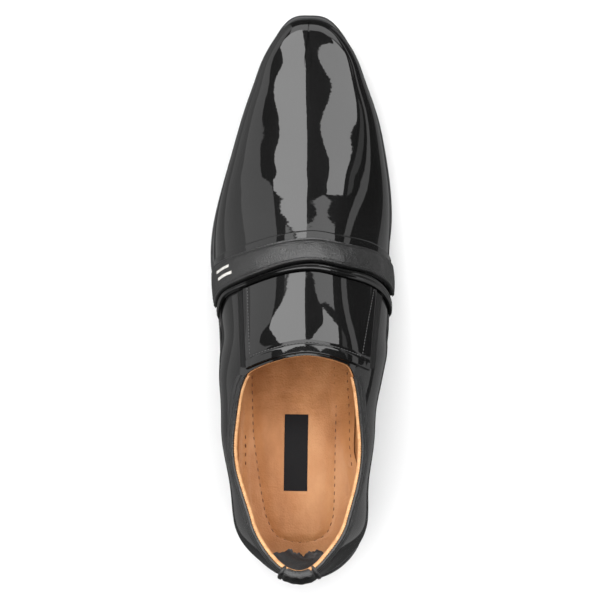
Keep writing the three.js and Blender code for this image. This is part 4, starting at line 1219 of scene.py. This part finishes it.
TACK_STITCH = (0.8, 0.34, 0.3)
TACK_PITCH = 0.85
TACK_PLACE = -0.602
strap_tack = zigzag(TACK_PLACE, 0.011, 19)
sew("strap_thread", [strap_tack], TACK_PITCH, TACK_STITCH, black_thread, "matte_leather")

# Foil bars: two short plain bars of silver foil, pressed on the strap's outer side.
BAR_LENGTH = 9.5
BAR_WIDTH = 1.5
silver_foil = new_material("silver_foil", (0.82, 0.8, 0.76), 0.34, metallic=0.3)
foil_wear = texture(silver_foil, "Noise", 1300, detail=3)
colour_by(silver_foil, foil_wear, [(0.35, (0.62, 0.6, 0.56)), (0.6, (0.86, 0.84, 0.8))])
raise_by(silver_foil, foil_wear, 0.05)
foil_grids = []
for share_across, shift in ((0.36, -0.01), (0.62, 0.01)):
    around = -0.4 + shift + np.linspace(-0.5, 0.5, 22)[:, None] * BAR_LENGTH / 78
    t = share_across + np.linspace(-0.5, 0.5, 6)[None] * BAR_WIDTH / (STRAP_WIDTH * 1.3)
    y = mix(strap_front(around), strap_rear(around), t)
    grown = [on_girth(y, around + 0 * t, strap_skin(t, around) + lift) for lift in (0.09, -0.05)]
    foil_grids += slab(*grown)
build_piece("foil_bars", foil_grids, silver_foil, "matte_leather")

# Piping: a roll of patent leather sewn in behind the strap, with a crease along its crown.
PIPING_WIDTH = 3.0
PIPING_HEIGHT = 2.2


def piping_rear(around):
    return strap_rear(around) - PIPING_WIDTH * piping_follow(around)


def piping_front(around):
    return np.minimum(strap_rear(around) - CLEARANCE, piping_rear(around) + 1.6 * PIPING_WIDTH)


def piping_skin(t, around):
    rolled = np.sqrt(np.maximum(0, 1 - (2 * t - 1) ** 2))
    crease = 0.3 * bump((t - 0.52) / 0.09)
    ends = 0.35 + 0.65 * rounded_ends(around)
    return OVER_UPPER + strap_full(around) * PIPING_HEIGHT * (0.25 + 0.75 * rolled - crease) * ends


build_piece("strap_piping_patent", laid_slab(
    piping_front, piping_rear, (1 - np.cos(np.linspace(0, math.pi, 25))) / 2,
    lambda t, around: VAMP_THICKNESS * 0.6 + 0 * t * around, piping_skin,
), patent, "patent_leather", "strap_piping")

# Instep panel: patent leather from the piping back to the throat, where its edge is folded and
# top-stitched. The strip beside each of its edges is a gore of black ribbed elastic, sewn between the
# panel and the quarters.
PANEL_HALF = 0.35 * BALL_WIDTH
PANEL_THICKNESS = 1.0
PANEL_TAPER = 0.91
PANEL_LAP = 1.0
PANEL_FOLD = 5.2
PANEL_INSET = 2.7
PANEL_STITCH = (1.25, 0.62, 0.5)
GORE_WIDTH = 2.6
GORE_THICKNESS = 0.6


def around_at(y, offset):
    """The share of the girth, round from the ridge, of a place at an offset to the ridge's side."""
    y, offset = np.broadcast_arrays(y, offset)
    walk, hand = walk_at(y), np.where(offset < 0, -1.0, 1.0)
    wide = lambda share: girth(walk, hand, share)[0] - hand * ridge_x(walk) > np.abs(offset)
    share = share_where(wide, y.shape)
    return np.where(np.abs(offset) < 1e-6, 0.0, hand * (1 - share))


def throat_edge(offset):
    return THROAT_PLACE - THROAT_DEPTH * (np.abs(offset) / THROAT_HALF) ** (1 / ARC_POWER)


def panel_front(offset):
    near = piping_rear(around_at(STRAP_PLACE - 1.5 * STRAP_WIDTH, offset))
    return piping_rear(around_at(near, offset)) - 2 * CLEARANCE


def panel_place(across, along, lift, half_more=0.0):
    half = PANEL_HALF * mix(1, PANEL_TAPER, along) + half_more
    rear = throat_edge(across * half) + PANEL_LAP
    y = mix(panel_front(across * half), rear, along)
    around = around_at(y, across * half)
    return on_girth(y, around, lift), around, y, rear


panel_across = np.sin(np.linspace(-1, 1, 121) * math.pi / 2)[:, None]
panel_along = (1 - np.cos(np.linspace(0, math.pi, 81))[None]) / 2
_, _, panel_y, panel_rear = panel_place(panel_across, panel_along, 0 * panel_across * panel_along)
to_side = (1 - np.abs(panel_across)) * PANEL_HALF
to_rear = panel_y - panel_rear
roll = lambda distance: 1 - (1 - np.clip(distance / 0.5, 0, 1)) ** 2
panel_lift = CLEARANCE + PANEL_THICKNESS * np.minimum(roll(to_side + 0.12), roll(to_rear + 0.12))
panel_lift += -0.2 * bump((to_rear - PANEL_FOLD) / 0.5) + 0.12 * ease((PANEL_FOLD - to_rear) / 1.2)
panel_lift += -0.1 * bump((to_side - PANEL_INSET) / 0.5)
build_piece("instep_panel_patent", slab(
    panel_place(panel_across, panel_along, panel_lift)[0],
    panel_place(panel_across, panel_along, 0.02 + 0 * panel_lift)[0],
), patent, "patent_leather", "instep_panel")


def panel_line(across, along):
    lift = np.full(len(across), CLEARANCE + PANEL_THICKNESS)
    points, around, y, _ = panel_place(across, along, lift)
    return points, normal_at(walk_at(y), np.where(around < 0, -1.0, 1.0), 1 - np.abs(around))


down_panel = np.linspace(0.02, 0.83, 90)
over_panel = np.linspace(-0.9, 0.83, 120)
panel_lengths = panel_front(over_panel * PANEL_HALF) - throat_edge(over_panel * PANEL_HALF * PANEL_TAPER)
sew("panel_thread", [
    panel_line(-(1 - PANEL_INSET / PANEL_HALF) + 0 * down_panel, down_panel),
    panel_line(1 - mix(1.6, 5.2, down_panel) / PANEL_HALF, down_panel),
    panel_line(over_panel, 1 - PANEL_FOLD / panel_lengths),
], LEATHER_PITCH, PANEL_STITCH, black_thread, "patent_leather")

elastic = new_material("elastic_gore", (0.01, 0.01, 0.01), 0.85)
elastic_ribs = texture(elastic, "Wave", 900)
elastic_ribs.node.bands_direction = "Y"
raise_by(elastic, elastic_ribs, 0.25)
for hand, name, node in ((-1, "elastic_outer", "gore_outer"), (1, "elastic_inner", "gore_inner")):
    out = np.linspace(0, GORE_WIDTH, 9)[:, None]
    down = np.linspace(0, 1, 50)[None]
    half = PANEL_HALF * mix(1, PANEL_TAPER, down) + CLEARANCE + out
    gore_rear = throat_edge(PANEL_HALF * PANEL_TAPER) + 2 * PANEL_LAP
    gore_y = mix(panel_front(hand * half) - CLEARANCE, gore_rear, down)
    gore_around = around_at(gore_y, hand * half)
    ribbed = GORE_THICKNESS * (0.75 + 0.25 * np.sin(out * 6))
    gore_top = on_girth(gore_y, gore_around, CLEARANCE + ribbed + 0 * down)
    gore_low = on_girth(gore_y, gore_around, 0.02 + 0 * gore_y)
    build_piece(name, slab(gore_top, gore_low), elastic, "elastic_gore", node)

# Collar binding: soft matte leather folded over the topline, with a crease along it. Inside it stands the
# lining's own edge, pinked into small teeth.
BINDING_START = 11.0
BINDING_DROP = 5.0
BINDING_WALL = 0.8
collar_walks = np.concatenate([
    np.linspace(walk_at(THROAT_PLACE - BINDING_START), side(HEEL_PIVOT), 260)[:-1],
    np.linspace(heel(0), heel(90), 150),
])


def there_and_back(walks):
    """Stops along the outer side to the back of the heel and on along the inner side, and their sides."""
    hands = np.concatenate([-np.ones(len(walks)), np.ones(len(walks) - 1)])
    return np.concatenate([walks, walks[::-1][1:]]), hands


collar_stops, collar_hands = there_and_back(collar_walks)


def along_topline(stops, hands, section):
    """A bar's grid round the topline, from a section of (lift off the last, rise over the topline) places."""
    rim, step = cut_share(stops, hands), 0.02
    top = lifted(stops, hands, rim, 0.0)
    below = lifted(stops, hands, rim - step, 0.0)
    span = np.linalg.norm(top - below, axis=-1, keepdims=True)
    upward = (top - below) / span
    places = []
    for lift, rise in section:
        lift, rise = np.broadcast_arrays(lift, rise, 0 * stops)[:2]
        dropped = lifted(stops, hands, rim + np.minimum(rise, 0) / span[:, 0] * step, lift)
        places.append(dropped + upward * np.maximum(rise, 0)[:, None])
    return np.stack(places, 1)


def bar_along(stops, hands, section):
    grid = along_topline(stops, hands, [*section, section[0]])
    rings = (grid[0, :-1], grid[-1, :-1])
    first, last = (np.stack([ring, np.broadcast_to(ring.mean(0), ring.shape)]) for ring in rings)
    return [grid, first, last[::-1]]


turn_over = np.radians(np.linspace(0, 180, 13))[1:-1]
soft = 0.06 * np.sin(np.arange(len(collar_stops)) * 0.23)
face = CLEARANCE + BINDING_WALL
binding_section = [
    (CLEARANCE - 0.25, -BINDING_DROP), (CLEARANCE + 0.55, -BINDING_DROP), (face, -BINDING_DROP + 0.45),
    (face + soft, -3.4), (face + soft, -2.3), (face - 0.1, -1.9), (CLEARANCE + 0.3, -1.55),
    (face - 0.05, -1.2), (face, -0.7), *[(math.cos(a) + 0.1, 1.15 * math.sin(a)) for a in turn_over],
    (-0.95, -1.0), (-0.95, -1.8), (CLEARANCE - 0.25, -1.8),
]
build_piece("collar_binding_leather", bar_along(collar_stops, collar_hands, binding_section), matte_leather,
            "matte_leather", "collar_binding", sharp=60)

TOOTH_PITCH = 1.35
rim_points = lifted(collar_stops, collar_hands, cut_share(collar_stops, collar_hands), 0.0)
rim_length = np.concatenate([[0], np.cumsum(np.linalg.norm(np.diff(rim_points, axis=0), axis=1))])
even = np.arange(0, rim_length[-1], TOOTH_PITCH / 4)
turned = np.where(collar_hands < 0, collar_stops, 2 * WHOLE_WALK - collar_stops)
even_turned = np.interp(even, rim_length, turned)
edge_hands = np.where(even_turned < WHOLE_WALK, -1.0, 1.0)
edge_stops = np.where(even_turned < WHOLE_WALK, even_turned, 2 * WHOLE_WALK - even_turned)
tooth = np.abs((even / TOOTH_PITCH) % 1 - 0.5) * 2
tan_edge = new_material("tan_edge", (0.68, 0.36, 0.16), 0.6)
edge_fray = texture(tan_edge, "Noise", 420, detail=4)
colour_by(tan_edge, edge_fray, [(0.3, (0.56, 0.27, 0.11)), (0.7, (0.78, 0.44, 0.21))])
raise_by(tan_edge, edge_fray, 0.2)
edge_section = [
    (-0.75 + 0.42 * tooth, 0.85), (-0.95 + 0.42 * tooth, 1.25), (-1.7, 1.4), (-2.35, 1.1), (-2.75, 0.4),
    (-2.85, -1.2), (-2.8, -3.2), (-2.6, -4.9), (-1.75, -5.0), (-1.75, -2.0), (-1.2, 0.0),
]
build_piece("lining_edge", bar_along(edge_stops, edge_hands, edge_section), tan_edge, "tan_leather", sharp=60)

# Heel tab: a short loop of the strap's matte leather, folded over the binding at the back and tacked at
# its ends, where it puckers.
TAB_WIDTH = 25.0
TAB_DROP = 12.0
TAB_WALL = 1.0
tab_half = np.linspace(WHOLE_WALK - TAB_WIDTH / 2 / SOLE_LENGTH, WHOLE_WALK, 60)
tab_stops, tab_hands = there_and_back(tab_half)
from_middle = (WHOLE_WALK - tab_stops) * SOLE_LENGTH * tab_hands
to_end = TAB_WIDTH / 2 - np.abs(from_middle)
folded = 0.45 * bump((to_end - 1.2) / 0.8) - 0.4 * bump((to_end - 2.9) / 0.6) - 0.3 * ease(1 - to_end / 0.5)
pucker = -0.5 * bump((from_middle - 9.3) / 0.9)
crown = 1.75 + folded * 0.6 + pucker
outer = 2.5 * CLEARANCE + BINDING_WALL + TAB_WALL + folded + 0.1 * np.sin(from_middle * 1.3)
inner = -WALL - 0.9
tab_section = [
    (0.05, -TAB_DROP), (outer - 0.4, -TAB_DROP), (outer, -TAB_DROP + 0.6), (outer, -7.0),
    (outer + 0.05, -3.5), (outer, -1.2),
    *[(mix(inner - 0.2, outer, (1 + math.cos(a)) / 2), crown * math.sin(a)) for a in turn_over],
    (inner - 0.3, -0.8), (inner - 0.2, -2.4), (inner + 0.5, -2.6), (inner + 1.2, 0.4), (0.6, 0.5),
    (0.2, -2.0),
]
build_piece("heel_tab_leather", bar_along(tab_stops, tab_hands, tab_section), matte_leather, "matte_leather",
            "heel_tab", sharp=60)
TACKED = 10
TAB_PITCH = 1.7
tack_stop, tack_lift = np.full(2, tab_half[TACKED]), outer[TACKED] + 0.05
tab_lines = []
for hand in (-1.0, 1.0):
    line = along_topline(tack_stop, np.full(2, hand), [(tack_lift, -TAB_DROP + 1), (tack_lift, -1.5)])
    tab_lines.append((line[0], normal_at(tack_stop, np.full(2, hand), 0.8)))
sew("tab_thread", tab_lines, TAB_PITCH, LEATHER_STITCH, black_thread, "matte_leather")

# Studio: the camera looks down on the shoe from the photograph's angle. One wide soft box lights the shoe
# and a pale floor, and the gloss mirrors only the glowing sheets overhead and at both sides.
floor_paint = new_material("floor_paint", (0.86, 0.86, 0.86), 0.9)
floor_mesh = bpy.data.meshes.new("floor")
FLOOR_HALF = 4
floor_corners = [(FLOOR_HALF * x, FLOOR_HALF * y, 0) for x, y in ((-1, -1), (1, -1), (1, 1), (-1, 1))]
floor_mesh.from_pydata(floor_corners, [], [(0, 1, 2, 3)])
floor_mesh.materials.append(floor_paint)
floor = bpy.data.objects.new("floor", floor_mesh)
scene.collection.objects.link(floor)
floor.visible_glossy = False

CAMERA_HEIGHT = 1600.0
CAMERA_AIM = (0.0, -1.7, 40.0)
CAMERA_SIDE = 53.6
CAMERA_ALONG = 1.3
CAMERA_LENS = 178.6
CAMERA_ROLL = 0.7
camera_data = bpy.data.cameras.new("camera")
camera_data.lens = CAMERA_LENS
camera_data.clip_start = 0.05
camera_data.clip_end = 20
camera = bpy.data.objects.new("camera", camera_data)
scene.collection.objects.link(camera)
camera.location = (CAMERA_SIDE / 1000, CAMERA_ALONG / 1000, CAMERA_HEIGHT / 1000)
gaze = Vector(CAMERA_AIM) / 1000 - camera.location
back, across = -gaze.normalized(), Vector((1, 0, 0))
up = back.cross(across).normalized()
turned = Matrix((up.cross(back), up, back)).transposed() @ Matrix.Rotation(math.radians(CAMERA_ROLL), 3, "Z")
camera.rotation_mode = "QUATERNION"
camera.rotation_quaternion = turned.to_quaternion()
scene.camera = camera

world = bpy.data.worlds.new("studio")
world.use_nodes = True
world.node_tree.nodes["Background"].inputs["Color"].default_value = (1, 1, 1, 1)
world.node_tree.nodes["Background"].inputs["Strength"].default_value = 0.06
scene.world = world
scene.view_settings.view_transform = "Standard"


def soft_box(name, centre, aim, size, power):
    """A box that lights the shoe but isn't seen in its gloss."""
    light = bpy.data.lights.new(name, "AREA")
    light.shape = "RECTANGLE"
    light.size, light.size_y = size
    light.energy = power
    box = bpy.data.objects.new(name, light)
    scene.collection.objects.link(box)
    box.location = centre
    box.rotation_mode = "QUATERNION"
    box.rotation_quaternion = (Vector(aim) - Vector(centre)).to_track_quat("-Z", "Y")
    box.visible_glossy = False


def glow_sheet(name, corners, strength):
    """A flat glowing sheet that the gloss mirrors."""
    paint = bpy.data.materials.new(name)
    paint.use_nodes = True
    nodes = paint.node_tree.nodes
    glow = nodes.new("ShaderNodeEmission")
    glow.inputs["Strength"].default_value = strength
    paint.node_tree.links.new(glow.outputs["Emission"], nodes["Material Output"].inputs["Surface"])
    mesh = bpy.data.meshes.new(name)
    mesh.from_pydata(corners, [], [range(len(corners))])
    mesh.materials.append(paint)
    sheet = bpy.data.objects.new(name, mesh)
    scene.collection.objects.link(sheet)
    sheet.visible_camera = False


SHEET_HEIGHT = 1.2
soft_box("fill_box", (0, -0.4, 2.4), (0, 0, 0), (4.5, 4.5), 142)
SHEETS = {
    "outer_strip": (4.4, [
        (-0.08, 0.64), (-0.21, 1.32), (-0.21, 1.46), (-2.0, 1.6), (-2.0, 1.35), (-1.6, 1.1), (-0.85, 0.64),
    ]),
    "inner_strip": (3.5, [
        (0.05, 0.64), (0.55, 0.84), (1.0, 1.06), (1.12, 1.2), (1.12, 1.36), (3.3, 2.0), (2.7, 1.15),
        (2.0, 0.95), (0.75, 0.64),
    ]),
    "inner_dim_strip": (0.5, [(3.4, 1.2), (4.4, 2.4), (5.8, 2.6), (5.6, 1.2)]),
    "outer_dim_strip": (1.0, [
        (-1.42, 0.3), (-1.42, 0.8), (-2.1, 1.0), (-2.7, 1.22), (-3.0, 1.36), (-3.0, 0.3),
    ]),
    "far_sheet": (1.9, [
        (-0.21, 1.47), (-0.21, 1.34), (0.9, 1.34), (1.1, 1.42), (3.2, 2.3), (4.5, 5.0), (-3.0, 5.0),
        (-1.5, 2.0), (-1.3, 1.58),
    ]),
    "near_sheet": (2.6, [(-0.7, -0.4), (-0.78, 0.6), (1.3, 0.6), (1.1, -0.4)]),
}
for name, (strength, corners) in SHEETS.items():
    glow_sheet(name, [(x, y, SHEET_HEIGHT) for x, y in corners], strength)

# The sheets at the sides stand upright: how far out, how strong, and the corners along the shoe and in
# height.
WALLS = {
    "outer_wall": (-3, 1.05, [(-4, 0), (5, 0), (5, 1.8), (2.2, 1.7), (1.6, 1.2), (-4, 1.2)]),
    "outer_wall_foot": (-3, 0.6, [(-4, -1.6), (5, -1.6), (5, 0), (-4, 0)]),
    "outer_wall_base": (-3, 0.3, [(-4, -6), (5, -6), (5, -1.6), (-4, -1.6)]),
    "inner_wall": (3, 0.9, [(-4, 0), (5, 0), (5, 0.35), (-4, 0.35)]),
    "inner_wall_foot": (3, 0.6, [(-4, -1.2), (0.2, -1.2), (0.2, 0), (-4, 0)]),
    "inner_wall_base": (3, 0.4, [(-4, -6), (5, -6), (5, -1.6), (-4, -1.6)]),
}
for name, (x, strength, corners) in WALLS.items():
    glow_sheet(name, [(x, y, z) for y, z in corners], strength)
